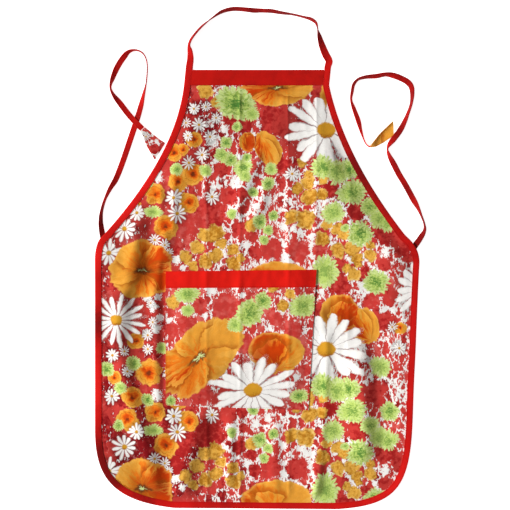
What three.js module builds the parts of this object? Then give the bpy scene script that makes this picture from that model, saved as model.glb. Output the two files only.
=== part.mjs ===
// A bib apron of printed cotton laid out flat, in millimetres: +Z up, the floor at Z = 0, +Y towards the neck.
// The origin is on the floor, in the middle of the apron's box.
import * as THREE from "three";

// Walls and clearances
const CLOTH = 1;
const TAPE = 1;
const GAP = 0.35;
const BINDING_WIDTH = 12;
const BIB_BAND_HEIGHT = 29;
const BAND_CLEARANCE = 1.3;
const POCKET_BAND_HEIGHT = 31;
const STRAP_WIDTH = 11;
const STRAP_THICK = 1.8;

// A folded strip holds the cloth in its slot: its half thickness, and how far it keeps the cloth off its fold
const SLOT_HALF = CLOTH / 2 + GAP;
const STRIP_HALF = SLOT_HALF + TAPE;
const FOLD_INSET = TAPE + GAP;
const FOLD_CHAMFER = 0.6;

// The cloth lies on the floor, and rises onto the back leaf of the strip along its edge
const EDGE_LIFT = TAPE + GAP;
const EDGE_EASE = 46;
const STRIP_MARGIN = 4;

// How finely the cloth, the pocket and the straps are divided
const ROWS = 46;
const COLUMNS = 24;
const POCKET_ROWS = 14;
const POCKET_COLUMNS = 16;
const STRAP_STEP = 9;

// The sewn outline, side by side as it lies: points on the edge, and the points that its curves pull towards
const BIB_TOP = 349;
const EDGE = {
  left: {
    bib: [-138.5, BIB_TOP],
    shoulder: [-141.5, 320],
    armholePull: [-157, 190],
    waist: [-291, 42],
    cornerPull: [-307, 30],
    side: [-306, -10],
    low: [-306, -318],
    lowPull: [-306, -406],
    hemPull: [-274, -449],
    hem: [-160, -462],
  },
  right: {
    bib: [130.5, BIB_TOP],
    shoulder: [127.5, 320],
    armholePull: [156, 187],
    waist: [268.5, 42],
    cornerPull: [298, 18],
    side: [294, -16],
    low: [281, -310],
    lowPull: [276, -420],
    hemPull: [255, -458],
    hem: [140, -464.5],
  },
};

// The patch pocket: its corners, how far its front stands off, and the shares of its width and height over
// which it does so from its side and bottom seams, and rises onto the back leaf of its band
const POCKET = {
  mouthLeft: [-175, -24],
  mouthRight: [104, -21],
  bottomLeft: [-175, -272],
  bottomRight: [89, -281],
  puff: 6.5,
  sideEase: 0.13,
  bottomEase: 0.25,
  bandEase: [0.68, 0.84],
};

// Soft folds of the laid cloth: a ridge from one point to the other, its height and its spread to each side
const FOLDS = [
  { name: "left crease of the bib", from: [-128, 240], to: [-172, 40], height: 3.2, spread: 26 },
  { name: "right crease of the bib", from: [112, 235], to: [106, 40], height: 3.4, spread: 26 },
  { name: "middle of the bib", from: [-10, 250], to: [-30, 90], height: 2.2, spread: 34 },
  { name: "left of the pocket", from: [-240, -60], to: [-232, -330], height: 3.2, spread: 30 },
  { name: "right of the pocket", from: [166, -60], to: [158, -290], height: 4, spread: 26 },
  { name: "right side", from: [232, -40], to: [222, -210], height: 2.6, spread: 28 },
  { name: "left crease of the skirt", from: [-172, -330], to: [-160, -420], height: 3, spread: 26 },
  { name: "middle of the skirt", from: [-36, -340], to: [-44, -420], height: 2.4, spread: 30 },
  { name: "right crease of the skirt", from: [100, -340], to: [104, -425], height: 3.4, spread: 26 },
  { name: "right corner", from: [226, -300], to: [180, -400], height: 2.6, spread: 30 },
];

// How far from the bound edge, the bib band and the pocket the folds begin and are full
const FOLD_FADE = { edge: [18, 70], top: [BIB_BAND_HEIGHT + 6, 100], pocket: [12, 52] };

// The waist corners ride up on the ties sewn under them
const CORNER_RISE = 3;
const CORNER_SPREAD = 50;
const CORNERS = [[-300, 26], [286, 20]];

// Straps as they lie, from where they are sewn on: the middle of the tape, its tilt (0 flat, 90 on edge) in
// degrees, and its lift off the floor
const ROUTE_COLUMNS = ["x", "y", "tilt", "lift"];
const NECK_ROUTE = [
  [-132.4, 348.9, 0, 0.95], [-131, 356, 0, 0.9], [-129.4, 368, 4, 0.3], [-130, 382, 30, 0],
  [-132, 393, 70, 0], [-129, 403, 78, 0], [-120, 416, 80, 0], [-106, 431, 78, 0], [-88, 445, 66, 0],
  [-71, 456, 66, 0], [-51, 461, 58, 0], [-28, 460, 55, 0], [-14, 458.5, 45, 0], [3, 458, 60, 0],
  [22, 457, 60, 0], [38, 454, 70, 0], [59, 451, 84, 0], [80, 446, 82, 0], [94, 442, 68, 0],
  [103, 435, 66, 0], [106, 424, 80, 0], [110, 408, 60, 0], [114, 393, 34, 0], [121, 377, 12, 0.2],
  [127.6, 364.5, 2, 0.6], [125.3, 356.5, 0, 0.9], [124.6, 350.1, 0, 0.95],
];
const LEFT_ROUTE = [
  [-286, 18, 0, 0], [-290, 34, -2, 0], [-294, 56, -34, 0], [-295, 71, -52, 0], [-293, 89, -68, 0],
  [-287, 109, -72, 0], [-277, 130, -52, 0], [-268, 145, -24, 0], [-256, 175, -4, 0], [-241, 219, 0, 0],
  [-230, 252, 2, 0], [-222, 278, 22, 0], [-216, 302, 58, 0], [-211, 325, 84, 0], [-209, 349, 88, 0],
  [-210, 364, 88, 0], [-215, 376, 88, 0], [-223, 383, 88, 0], [-233, 385, 84, 0], [-243, 382, 62, 0],
  [-252, 373, 22, 0], [-263, 357, 10, 0], [-272, 336, 44, 0], [-277, 317, 82, 0], [-273, 305, 66, 0.4],
  [-259, 286, 16, 1.4], [-242, 264, 2, 2.4], [-226, 247, 0, 2.4], [-215, 235, 0, 1.6],
];
const RIGHT_ROUTE = [
  [276, 8, 0, 0], [287, 24, 4, 0], [297, 39, 30, 0], [304, 53, 68, 0], [303, 64, 84, 0],
  [298, 78, 80, 0], [292.5, 91, 64, 0], [282.5, 110, 14, 0], [268, 137, 0, 0], [257, 155, 4, 0],
  [246.5, 175, 20, 0], [238, 191, 60, 0], [235, 202, 86, 0], [239, 211, 50, 0], [247, 221, 6, 0],
  [258, 236, 12, 0], [266, 251, 42, 0], [273, 268, 64, 0], [279, 286, 68, 0], [281, 305, 52, 0],
  [279, 318, 30, 0], [273, 326, 6, 0], [263, 332, 0, 0], [247, 338, 20, 0], [232, 340, 54, 0],
  [215, 337, 48, 0], [194, 335, 62, 0], [181, 331, 72, 0], [173, 322, 62, 0], [170, 309, 62, 0],
  [168, 293, 70, 0], [173, 277, 48, 0], [181, 255, 34, 0], [186, 236, 60, 0], [190.5, 222, 78, 0],
  [194.5, 213, 82, 0], [198.5, 208, 82, 0], [203, 206.2, 76, 0],
];

// The printed ends of the ties widen towards their free edge
const END_COLUMNS = ["x", "y", "tilt", "lift", "width"];
const END_THICK = 1.4;
const LEFT_END = [
  [-214.4, 234.3, 0, 1.6, 13], [-210, 229.4, 0, 1.4, 16], [-199.5, 212, 0, 0.5, 27], [-188, 200.5, 0, 0, 35],
];
const RIGHT_END = [
  [205, 206.8, 76, 0, 11], [214, 213, 56, 0, 18], [226, 224.5, 40, 0, 24], [239.5, 238.5, 34, 0, 27],
];

const COLORS = { print: 0xd9825a, red: 0xb9151b, band: 0xae1414 };
const ROUGHNESS = 0.9;
const smooth = THREE.MathUtils.smoothstep;

function mix(a, b, t) {
  return new THREE.Vector2(...a).lerp(new THREE.Vector2(...b), t);
}

// One side of the outline, from the bib's corner to the hem
function sideEdge(side) {
  return new THREE.Path()
    .moveTo(...side.bib)
    .lineTo(...side.shoulder)
    .quadraticCurveTo(...side.armholePull, ...side.waist)
    .quadraticCurveTo(...side.cornerPull, ...side.side)
    .lineTo(...side.low)
    .bezierCurveTo(...side.lowPull, ...side.hemPull, ...side.hem);
}

// Points along one side with their direction into the cloth; turn is 1 on the left and -1 on the right
function sideStations(side, turn) {
  const path = sideEdge(side);
  return path.getSpacedPoints(ROWS).map((at, k) => {
    const along = path.getTangentAt(k / ROWS);
    return { at, inward: new THREE.Vector2(-along.y, along.x).multiplyScalar(turn) };
  });
}

const left = sideStations(EDGE.left, 1);
const right = sideStations(EDGE.right, -1);
const hem = Array.from({ length: COLUMNS + 1 }, (_, i) => ({
  at: mix(EDGE.left.hem, EDGE.right.hem, i / COLUMNS),
  inward: new THREE.Vector2(0, 1),
}));
const boundEdge = [...left, ...hem.slice(1, -1), ...right.slice().reverse()];

function inside(station, distance) {
  return station.at.clone().addScaledVector(station.inward, distance);
}

function toSegment(point, a, b) {
  const run = b.clone().sub(a);
  const t = THREE.MathUtils.clamp(point.clone().sub(a).dot(run) / run.lengthSq(), 0, 1);
  return point.distanceTo(run.multiplyScalar(t).add(a));
}

function toBoundEdge(point) {
  let nearest = Infinity;
  for (let i = 1; i < boundEdge.length; i++) {
    nearest = Math.min(nearest, toSegment(point, boundEdge[i - 1].at, boundEdge[i].at));
  }
  return nearest;
}

// Distance outside the pocket, nothing within it
function toPocket(point) {
  const dx = Math.max(POCKET.mouthLeft[0] - point.x, point.x - POCKET.mouthRight[0], 0);
  const dy = Math.max(POCKET.bottomRight[1] - point.y, point.y - POCKET.mouthRight[1], 0);
  return Math.hypot(dx, dy);
}

// Folds fade out towards the seams, so that the sewn edges and the pocket lie flat
function foldHeight(point) {
  const bare = smooth(toBoundEdge(point), ...FOLD_FADE.edge)
    * smooth(BIB_TOP - point.y, ...FOLD_FADE.top)
    * smooth(toPocket(point), ...FOLD_FADE.pocket);
  let sum = 0;
  for (const fold of FOLDS) {
    const ridge = [new THREE.Vector2(...fold.from), new THREE.Vector2(...fold.to)];
    const away = toSegment(point, ...ridge) / fold.spread;
    sum += fold.height * Math.exp(-(away ** 2));
  }
  return bare * sum;
}

function cornerRise(point) {
  let sum = 0;
  for (const corner of CORNERS) {
    const away = point.distanceTo(new THREE.Vector2(...corner)) / CORNER_SPREAD;
    sum += CORNER_RISE * Math.exp(-(away ** 2));
  }
  return sum;
}

// Underside of the cloth over the floor
function clothHeight(point) {
  const nearSide = BINDING_WIDTH + STRIP_MARGIN;
  const nearTop = BIB_BAND_HEIGHT + STRIP_MARGIN;
  const side = 1 - smooth(toBoundEdge(point), nearSide, nearSide + EDGE_EASE);
  const top = 1 - smooth(BIB_TOP - point.y, nearTop, nearTop + EDGE_EASE);
  return EDGE_LIFT * Math.max(side, top) + foldHeight(point) + cornerRise(point);
}

// Moves every point of a straight piece to its place in the laid apron
function bend(straight, place) {
  const position = straight.attributes.position;
  for (let i = 0; i < position.count; i++) {
    const to = place(position.getX(i), position.getY(i), position.getZ(i));
    position.setXYZ(i, to.x, to.y, to.z);
  }
  straight.computeVertexNormals();
  return straight;
}

// A flat sheet of cloth with its thickness, divided into columns and rows; place takes the column, the row
// from the bottom, and 0 at the underside or 1 at the upper side
function sheet(columns, rows, place) {
  const box = new THREE.BoxGeometry(columns, rows, 1, columns, rows, 1);
  return bend(box, (x, y, z) => place(Math.round(x + columns / 2), Math.round(y + rows / 2), z + 0.5));
}

// A strip folded over an edge: place takes the station, the distance from the fold and the height over the
// middle of the cloth
function foldedStrip(width, stations, place) {
  const section = new THREE.Shape([
    new THREE.Vector2(width, STRIP_HALF),
    new THREE.Vector2(FOLD_CHAMFER, STRIP_HALF),
    new THREE.Vector2(0, STRIP_HALF - FOLD_CHAMFER),
    new THREE.Vector2(0, FOLD_CHAMFER - STRIP_HALF),
    new THREE.Vector2(FOLD_CHAMFER, -STRIP_HALF),
    new THREE.Vector2(width, -STRIP_HALF),
    new THREE.Vector2(width, -SLOT_HALF),
    new THREE.Vector2(TAPE, -SLOT_HALF),
    new THREE.Vector2(TAPE, SLOT_HALF),
    new THREE.Vector2(width, SLOT_HALF),
  ]);
  const steps = stations - 1;
  const straight = new THREE.ExtrudeGeometry(section, { depth: steps, steps, bevelEnabled: false });
  return bend(straight, (x, y, z) => place(Math.round(z), x, y));
}

// A tape swept along its route, resting on the floor by its lowest edge
function strap(route, columns, thick) {
  const rows = route.map((row) => Object.fromEntries(columns.map((name, i) => [name, row[i]])));
  const middle = new THREE.CatmullRomCurve3(rows.map((r) => new THREE.Vector3(r.x, r.y, 0)));
  const turned = new THREE.CatmullRomCurve3(
    rows.map((r) => new THREE.Vector3(r.tilt, r.lift, r.width ?? STRAP_WIDTH)), false, "catmullrom", 0.3);
  const steps = Math.max(4, Math.round(middle.getLength() / STRAP_STEP));
  return sheet(1, steps, (i, k, level) => {
    const t = middle.getUtoTmapping(k / steps);
    const at = middle.getPoint(t);
    const along = middle.getTangent(t);
    const state = turned.getPoint(t);
    const tilt = THREE.MathUtils.degToRad(state.x);
    const rest = state.y + (state.z * Math.abs(Math.sin(tilt)) + thick * Math.abs(Math.cos(tilt))) / 2;
    const across = new THREE.Vector3(along.y * Math.cos(tilt), -along.x * Math.cos(tilt), Math.sin(tilt));
    const up = new THREE.Vector3(-along.y * Math.sin(tilt), along.x * Math.sin(tilt), Math.cos(tilt));
    at.addScaledVector(across, (i - 0.5) * state.z).addScaledVector(up, (level - 0.5) * thick);
    at.z += rest;
    return at;
  });
}

// The cloth's grid: its outer columns follow the binding, and its last row the hem
function clothPoint(column, row) {
  const k = ROWS - row;
  if (row === 0) {
    return inside(hem[column], FOLD_INSET);
  }
  const outer = { 0: left[k], [COLUMNS]: right[k] }[column];
  const seam = BINDING_WIDTH + STRIP_MARGIN;
  const point = outer
    ? inside(outer, FOLD_INSET)
    : inside(left[k], seam).lerp(inside(right[k], seam), (column - 1) / (COLUMNS - 2));
  if (k === 0) {
    point.y = BIB_TOP - FOLD_INSET;
  }
  return point;
}

function bodyPanel() {
  return sheet(COLUMNS, ROWS, (column, row, level) => {
    const point = clothPoint(column, row);
    return { x: point.x, y: point.y, z: clothHeight(point) + level * CLOTH };
  });
}

function edgeBinding() {
  return foldedStrip(BINDING_WIDTH, boundEdge.length, (k, depth, height) => {
    const point = inside(boundEdge[k], depth);
    const z = EDGE_LIFT + CLOTH / 2 + cornerRise(point) + height;
    return { x: point.x, y: point.y, z };
  });
}

// Where the bib band stops beside the binding's inner edge
function bandEndX(stations, y) {
  const inner = stations.map((station) => inside(station, BINDING_WIDTH + BAND_CLEARANCE));
  const k = Math.max(1, inner.findIndex((point) => point.y <= y));
  const t = (inner[k - 1].y - y) / (inner[k - 1].y - inner[k].y);
  return THREE.MathUtils.lerp(inner[k - 1].x, inner[k].x, t);
}

function bibBand() {
  return foldedStrip(BIB_BAND_HEIGHT, COLUMNS + 1, (k, depth, height) => {
    const y = BIB_TOP - depth;
    const x = THREE.MathUtils.lerp(bandEndX(right, y), bandEndX(left, y), k / COLUMNS);
    return { x, y, z: EDGE_LIFT + CLOTH / 2 + height };
  });
}

// A point on the pocket's underside: across runs from the left seam, up from the bottom seam, 1 at the mouth
function pocketPoint(across, up) {
  const bottom = mix(POCKET.bottomLeft, POCKET.bottomRight, across);
  const mouth = mix(POCKET.mouthLeft, POCKET.mouthRight, across);
  const plan = bottom.lerp(mouth, up);
  const off = smooth(Math.min(across, 1 - across), 0, POCKET.sideEase) * smooth(up, 0, POCKET.bottomEase);
  const overBand = (TAPE + GAP) * smooth(up, ...POCKET.bandEase);
  return { x: plan.x, y: plan.y, z: CLOTH + GAP + overBand + POCKET.puff * off };
}

const POCKET_HEIGHT = POCKET.mouthLeft[1] - POCKET.bottomLeft[1];

function pocketPanel() {
  const top = 1 - FOLD_INSET / POCKET_HEIGHT;
  return sheet(POCKET_COLUMNS, POCKET_ROWS, (column, row, level) => {
    const point = pocketPoint(column / POCKET_COLUMNS, (row / POCKET_ROWS) * top);
    point.z += level * CLOTH;
    return point;
  });
}

function pocketBand() {
  return foldedStrip(POCKET_BAND_HEIGHT, POCKET_COLUMNS + 1, (k, depth, height) => {
    const point = pocketPoint(1 - k / POCKET_COLUMNS, 1 - depth / POCKET_HEIGHT);
    point.z += CLOTH / 2 + height;
    return point;
  });
}

const PIECES = [
  { name: "body_panel", shape: bodyPanel(), color: COLORS.print },
  { name: "edge_binding", shape: edgeBinding(), color: COLORS.red },
  { name: "bib_band", shape: bibBand(), color: COLORS.band },
  { name: "pocket_panel", shape: pocketPanel(), color: COLORS.print },
  { name: "pocket_band", shape: pocketBand(), color: COLORS.band },
  { name: "neck_strap", shape: strap(NECK_ROUTE, ROUTE_COLUMNS, STRAP_THICK), color: COLORS.red },
  { name: "waist_tie_left", shape: strap(LEFT_ROUTE, ROUTE_COLUMNS, STRAP_THICK), color: COLORS.red },
  { name: "waist_tie_right", shape: strap(RIGHT_ROUTE, ROUTE_COLUMNS, STRAP_THICK), color: COLORS.red },
  { name: "tie_end_left", shape: strap(LEFT_END, END_COLUMNS, END_THICK), color: COLORS.print },
  { name: "tie_end_right", shape: strap(RIGHT_END, END_COLUMNS, END_THICK), color: COLORS.print },
];

const apron = new THREE.Group();
apron.name = "apron";
for (const piece of PIECES) {
  const material = new THREE.MeshStandardMaterial({ color: piece.color, roughness: ROUGHNESS });
  const mesh = new THREE.Mesh(piece.shape, material);
  mesh.name = piece.name;
  apron.add(mesh);
}

export default apron;
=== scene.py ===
"""A bib apron of printed cotton laid out flat: its cloth, tapes, bands and stitching, with light and camera.

Lengths are in millimetres until a mesh is made, +Y points to the neck and the floor is at Z = 0.
"""
import math

import bpy
import numpy as np
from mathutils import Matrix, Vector, noise


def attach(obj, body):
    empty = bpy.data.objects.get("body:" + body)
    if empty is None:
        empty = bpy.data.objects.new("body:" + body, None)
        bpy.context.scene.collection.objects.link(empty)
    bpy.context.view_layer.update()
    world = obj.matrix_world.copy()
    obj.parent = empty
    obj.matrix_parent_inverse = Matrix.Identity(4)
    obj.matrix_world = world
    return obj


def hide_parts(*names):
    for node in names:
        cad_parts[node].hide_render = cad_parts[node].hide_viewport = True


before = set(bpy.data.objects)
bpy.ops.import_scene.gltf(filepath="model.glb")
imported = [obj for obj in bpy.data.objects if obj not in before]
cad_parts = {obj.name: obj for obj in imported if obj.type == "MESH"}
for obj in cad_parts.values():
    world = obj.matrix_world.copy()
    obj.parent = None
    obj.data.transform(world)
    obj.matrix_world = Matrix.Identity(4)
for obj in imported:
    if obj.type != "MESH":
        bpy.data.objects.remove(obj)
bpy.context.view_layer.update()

MM = 0.001

# Walls, as they are in the solids
CLOTH = 1.0
TAPE = 1.0
GAP = 0.35
BINDING_WIDTH = 12.0
BIB_BAND_HEIGHT = 29.0
BAND_CLEARANCE = 0.2
POCKET_BAND_HEIGHT = 31.0
STRAP_WIDTH = 11.0
STRAP_THICK = 1.8
END_THICK = 1.4
SLOT_HALF = CLOTH / 2 + GAP
STRIP_HALF = SLOT_HALF + TAPE
FOLD_INSET = TAPE + GAP
EDGE_LIFT = TAPE + GAP
EDGE_EASE = 46.0
STRIP_MARGIN = 4.0

# How finely the pieces are divided: steps in millimetres, then numbers of columns, points and steps
CLOTH_STEP = 4.8
POCKET_STEP = 2.6
TAPE_STEP = 3.2
STRAP_STEP = 3.0
SEAM_STEP = 1.5
FOLD_STEP = 1.6
LINE_STEP = 12.0
CLOTH_COLUMNS = 250
CURVE_POINTS = 80
FOLD_RUN_LEAST = 7
FOLD_TURN_POINTS = 9
BIB_SIDE_POINTS = 40
SEAM_POINTS = {"side": 60, "bottom": 70}
ROUTE_STEPS = 24

# Faces that meet at more than this angle, in degrees, keep a sharp edge between them
SHARP_ANGLE = 55

# The sewn outline, side by side as it lies: points on the edge, and the points that its curves pull towards
BIB_TOP = 349.0
EDGE = {
    "left": {
        "bib": (-138.5, BIB_TOP),
        "shoulder": (-141.5, 320),
        "armhole_pull": (-157, 190),
        "waist": (-291, 42),
        "corner_pull": (-307, 30),
        "side": (-306, -10),
        "low": (-306, -318),
        "low_pull": (-306, -406),
        "hem_pull": (-274, -449),
        "hem": (-160, -462),
    },
    "right": {
        "bib": (130.5, BIB_TOP),
        "shoulder": (127.5, 320),
        "armhole_pull": (156, 187),
        "waist": (268.5, 42),
        "corner_pull": (298, 18),
        "side": (294, -16),
        "low": (281, -310),
        "low_pull": (276, -420),
        "hem_pull": (255, -458),
        "hem": (140, -464.5),
    },
}

# The patch pocket: its corners, how far its front stands off, and the shares of its width and height over
# which it does so from its side and bottom seams, and rises onto the back leaf of its band
POCKET = {
    "mouth_left": (-175, -24),
    "mouth_right": (104, -21),
    "bottom_left": (-175, -272),
    "bottom_right": (89, -281),
    "puff": 5.4,
    "side_ease": 0.13,
    "bottom_ease": 0.25,
    "band_ease": (0.68, 0.84),
}
POCKET_HEIGHT = POCKET["mouth_left"][1] - POCKET["bottom_left"][1]
POCKET_WIDTH = POCKET["mouth_right"][0] - POCKET["mouth_left"][0]
POCKET_HEM = {"width": 9.0, "ease": 2.0, "rise": 0.5}

# Soft folds of the laid cloth: the line along a ridge, its height and its spread to each side
FOLDS = [
    (((-128, 240), (-172, 40)), 3.6, 20),
    (((112, 235), (106, 40)), 2.4, 22),
    (((60, 210), (64, 20)), 2.0, 12),
    (((-160, 190), (-160, 60)), 4.0, 8),
    (((-186, 150), (-184, 74)), 4.0, 8),
    (((-8, 182), (-25, 139), (-48, 80)), 8.6, 15),
    (((10, 130), (2, 104), (-18, 60)), 5.4, 12),
    (((118, 180), (140, 110), (190, 45), (236, 8)), 11.0, 30),
    (((-290, -30), (-262, -70)), 3.6, 14),
    (((-228, 62), (-235, -20), (-257, -80), (-262, -151), (-251, -235), (-226, -312), (-203, -376),
      (-196, -425)), 13.0, 19),
    (((-180, 40), (-182, -25), (-194, -80), (-196, -151), (-184, -235), (-165, -300)), 7.0, 15),
    (((-114, -280), (-121, -320), (-138, -373), (-144, -440)), 14.0, 23),
    (((-54, -285), (-58, -410)), 6.5, 12),
    (((28, -310), (26, -430)), 3.6, 12),
    (((122, -150), (119, -270), (112, -360)), 4.0, 9),
    (((109, -385), (104, -432)), 6.5, 9),
    (((184, -190), (186, -260), (193, -352)), 17.0, 23),
]
FOLD_FADE = {"edge": (14, 40), "top": (BIB_BAND_HEIGHT + 6, 80), "pocket": (2, 22)}

# Sharp creases from the packet, in the same columns: most run the length of the cloth, two lie across it
CREASES = [
    (((104, 300), (101, -450)), 2.0, 4),
    (((-101, 300), (-98, -440)), 2.0, 4),
    (((51, 300), (53, -445)), 2.0, 4),
    (((-38, 300), (-37, -440)), 2.6, 4),
    (((166, 150), (158, -400)), 1.6, 6),
    (((-200, -58), (-180, -120)), 2.4, 4),
    (((-285, -150), (280, -146)), 1.4, 5),
    (((-130, 150), (170, 152)), 1.4, 5),
    (((-270, -380), (260, -384)), 1.4, 5),
]
CREASE_FADE = {"edge": (12, 30), "top": (BIB_BAND_HEIGHT + 3, 44), "pocket": (2, 14)}

# Small unevenness of washed cotton: the height and length of its waves, how much finer the second waves are,
# how far they are drawn out up the cloth, the level they swing about, and the shares of coarse and fine waves
CRUMPLE = {"height": 2.3, "length": 27.0, "finer": 2.3, "stretch": 0.45, "level": 0.5}
CRUMPLE_SHARES = {"coarse": 0.6, "fine": 0.45}

# Waves of the sewn edge, which fade over a reach from it, puckers of the binding, which change its width too,
# and waves of the two bands, in the same terms
EDGE_WAVE = {"height": 1.5, "length": 95.0, "level": 0.35, "reach": (26, 90)}
PUCKER = {"height": 0.35, "length": 11.0, "level": 0.2, "width": 0.5, "width_length": 43.0}
BAND_WAVE = {"height": 0.7, "length": 19.0, "level": 0.3, "stretch": 0.35}

# Which part of the noise each kind of unevenness takes
SEEDS = {"crumple": 0.3, "fine_crumple": 4.1, "edge": 7.7, "bib_band": 9.4, "pocket_band": 5.6}
PUCKER_SEEDS = {"puff": (0.5, 2.2), "width": (3.5, 1.2)}

# How brightly light and shade are painted on the red bands and the binding, from painted shade, 0, to painted
# light, 1
BAND_PAINTED_LIGHT = {"bib": 0.3, "pocket": 0.85}
EDGE_BASE_PAINTED_LIGHT = 0.55

# Where the binding is painted brighter, painted light, or duller, painted shade: x, y, spread and change
EDGE_PAINTED_LIGHT_ZONES = [
    (-300, -125, 40, -0.4), (-292, -385, 56, -0.8), (-56, -455, 90, -0.15), (-304, -230, 75, 0.3),
    (-215, -447, 30, -0.4), (180, 150, 110, -0.5), (285, 0, 70, -0.1), (-225, 95, 90, 0.28),
    (-303, 5, 25, 0.3), (245, -425, 60, 0.35), (-160, -457, 25, 0.3),
]

# How brightly light and shade are painted on each strap at these shares of its length
STRAP_PAINTED_LIGHT = {
    "neck": ((0.0, 0.6), (0.06, 0.5), (0.16, 0.18), (0.84, 0.18), (0.94, 0.5), (1.0, 0.6)),
    "left": ((0.0, -0.4), (0.06, -0.2), (0.16, 0.38)),
    "right": ((0.0, -0.6), (0.06, -0.5), (0.15, 0.2), (0.78, 0.25), (0.88, 1.0)),
}

# The waist corners ride up on the ties sewn under them, and one side does not lie quite flat: where the edge
# lifts, how high and how far round
EDGE_LIFTS = [(-300, 26, 3.0, 50), (286, 20, 3.0, 50), (294, -170, 4.0, 46), (290, -310, 6.5, 56)]

# Straps as they lie, from where they are sewn on: the middle of the tape, its tilt (0 flat, 90 on edge) in
# degrees, its lift off the floor and, where the tape opens up or narrows, its width
NECK_ROUTE = [
    (-131.9, 348.45, 0, 0.95, 13.6), (-131.6, 351.6, 0, 0.95, 13.6), (-130.6, 359, 0, 0.8, 13.2),
    (-129.4, 369, 4, 0.3, 12.4), (-130, 382, 30, 0, 11.4), (-132, 393, 64, 0, 11), (-129, 403, 66, 0, 11),
    (-120, 416, 67, 0, 11), (-106, 431, 70, 0, 11), (-88, 445, 90, 0, 11), (-71, 456, 112, 0, 11),
    (-51, 461, 122, 0, 11), (-28, 460, 125, 0, 11), (-14, 458.5, 132, 0, 11), (3, 458, 120, 0, 11),
    (22, 457, 120, 0, 11), (38, 454, 110, 0, 11), (59, 451, 96, 0, 11), (80, 446, 98, 0, 11),
    (94, 442, 112, 0, 11), (103, 435, 104, 0, 11), (106, 424, 86, 0, 11), (110, 408, 42, 0, 12),
    (114.5, 393, 25, 0, 14), (121, 377, 20, 0.2, 15), (127.4, 364.5, 6, 0.6, 13.4),
    (125.4, 356.5, 0, 0.9, 12.6), (124.6, 352.6, 0, 0.95, 12.4), (124.4, 349.6, 0, 0.95, 12.4),
]
LEFT_ROUTE = [
    (-286, 18, 0, 0), (-290, 34, -2, 0), (-294, 56, -34, 0), (-295, 71, -52, 0), (-293, 89, -68, 0),
    (-287, 109, -72, 0), (-277, 130, -52, 0), (-268, 145, -24, 0), (-256, 175, -4, 0), (-241, 219, 0, 0),
    (-230, 252, 2, 0), (-222, 278, 22, 0), (-216, 302, 58, 0), (-211, 325, 84, 0), (-209, 349, 88, 0),
    (-210, 364, 88, 0), (-215, 376, 88, 0), (-223, 383, 88, 0), (-233, 385, 84, 0), (-243, 382, 62, 0),
    (-252, 373, 22, 0), (-263, 357, 10, 0), (-272, 336, 44, 0), (-277, 317, 82, 0), (-273, 305, 66, 0.4),
    (-259, 286, 16, 1.4), (-242, 264, 2, 2.4), (-226, 247, 0, 2.4), (-218.5, 239.2, 0, 1.8),
]
RIGHT_ROUTE = [
    (276, 8, 0, 0), (287, 24, 4, 0), (297, 39, 30, 0), (304, 53, 68, 0), (303, 64, 84, 0),
    (298, 78, 80, 0), (292.5, 91, 64, 0), (282.5, 110, 14, 0), (268, 137, 0, 0), (257, 155, 4, 0),
    (246.5, 175, 20, 0), (238, 191, 60, 0), (235, 202, 86, 0), (239, 211, 50, 0), (247, 221, 6, 2.4),
    (258, 236, 12, 2), (266, 251, 42, 0), (273, 268, 64, 0), (279, 286, 68, 0), (281, 305, 52, 0),
    (279, 318, 30, 0), (273, 326, 6, 0), (263, 332, 0, 0), (247, 338, 20, 0), (232, 340, 54, 0),
    (215, 337, 48, 0), (194, 335, 62, 0), (181, 331, 72, 0), (173, 322, 62, 0), (170, 309, 62, 0),
    (168, 293, 70, 0), (173, 277, 48, 0), (181, 255, 34, 0), (186, 236, 60, 0), (190.5, 222, 78, 0),
    (194.5, 213, 82, 0), (198.5, 208, 86, 0), (203, 206.2, 96, 0),
]

# The printed ends of the ties, in the same columns, widen towards their free edge
LEFT_END = [
    (-218, 238.6, 0, 1.8, 12), (-211, 230.5, 0, 1.4, 16), (-199.5, 214, 0, 0.5, 26),
    (-185.6, 197.8, 0, 0, 35),
]
RIGHT_END = [
    (203.6, 206.4, 100, 0, 11), (212.5, 212, 146, 0, 13), (227, 224.5, 172, 0, 18),
    (246.5, 241, 177, 0, 21.5),
]

# Printed ends: how far one corner runs ahead of the other, how steeply the edge turns up, and the painted
# shade that dulls it, below nothing painted light
LEFT_END_SHAPE = {"slant": 0.3, "curl": 0.0, "dull": 0.08}
RIGHT_END_SHAPE = {"slant": 0.8, "curl": 0.85, "dull": -0.1}

# From this share of its width off the middle a printed end turns up
CURL_FROM = 0.3

# How gently tilt, lift and width change between the places of a route
STATE_TENSION = 0.3

# The section of a strap: shares of its width from the middle, and of its half thickness
STRAP_SECTION = {
    "across": (-0.5, -0.485, -0.45, -0.36, -0.2, 0.0, 0.2, 0.36, 0.45, 0.485, 0.5),
    "thick": (0.3, 0.72, 0.95, 1.0, 0.93, 0.9, 0.93, 1.0, 0.95, 0.72, 0.3),
}

# Thread: how far one stitch is from the next, its length, its radius and its distance from a sewn edge
STITCH = {"pitch": 3.1, "length": 2.4, "radius": 0.26, "edge": 1.8}

# A stitch from end to end: shares of its length, and of its radius its girth and its rise off the cloth there
STITCH_ALONG = (0, 0.14, 0.5, 0.86, 1)
STITCH_GIRTH = (0.35, 0.9, 1, 0.9, 0.35)
STITCH_RISE = (-0.5, 0.35, 0.6, 0.35, -0.5)
STITCH_SIDES = 6

# How deep a row of stitches draws the cloth down, and over what distance
SEAM_DRAW = {"strip": (0.28, 1.3), "pocket": (0.3, 1.2)}

# The print is charted on squared paper: the side of a square, the square on the apron's origin, and how many
# squares down the cloth the print begins again
CHART_SQUARE = 1.852
CHART_ORIGIN = (260.3, 258.3)
PRINT_REPEAT = 218

# A flower that no piece of cloth reaches, in the columns of the great flowers below
FAR_AWAY = (1e4, 1e4, 1, 1, 0, 0)

# Where the chart's plain red ground gives way to red and white speckle, and how much of it is white there
SPECKLE_FROM = (188, 236)
SPECKLE_WHITE = {"left": 0.15, "right": 0.8, "pocket": 0.6, "ends": 0.62}

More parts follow.
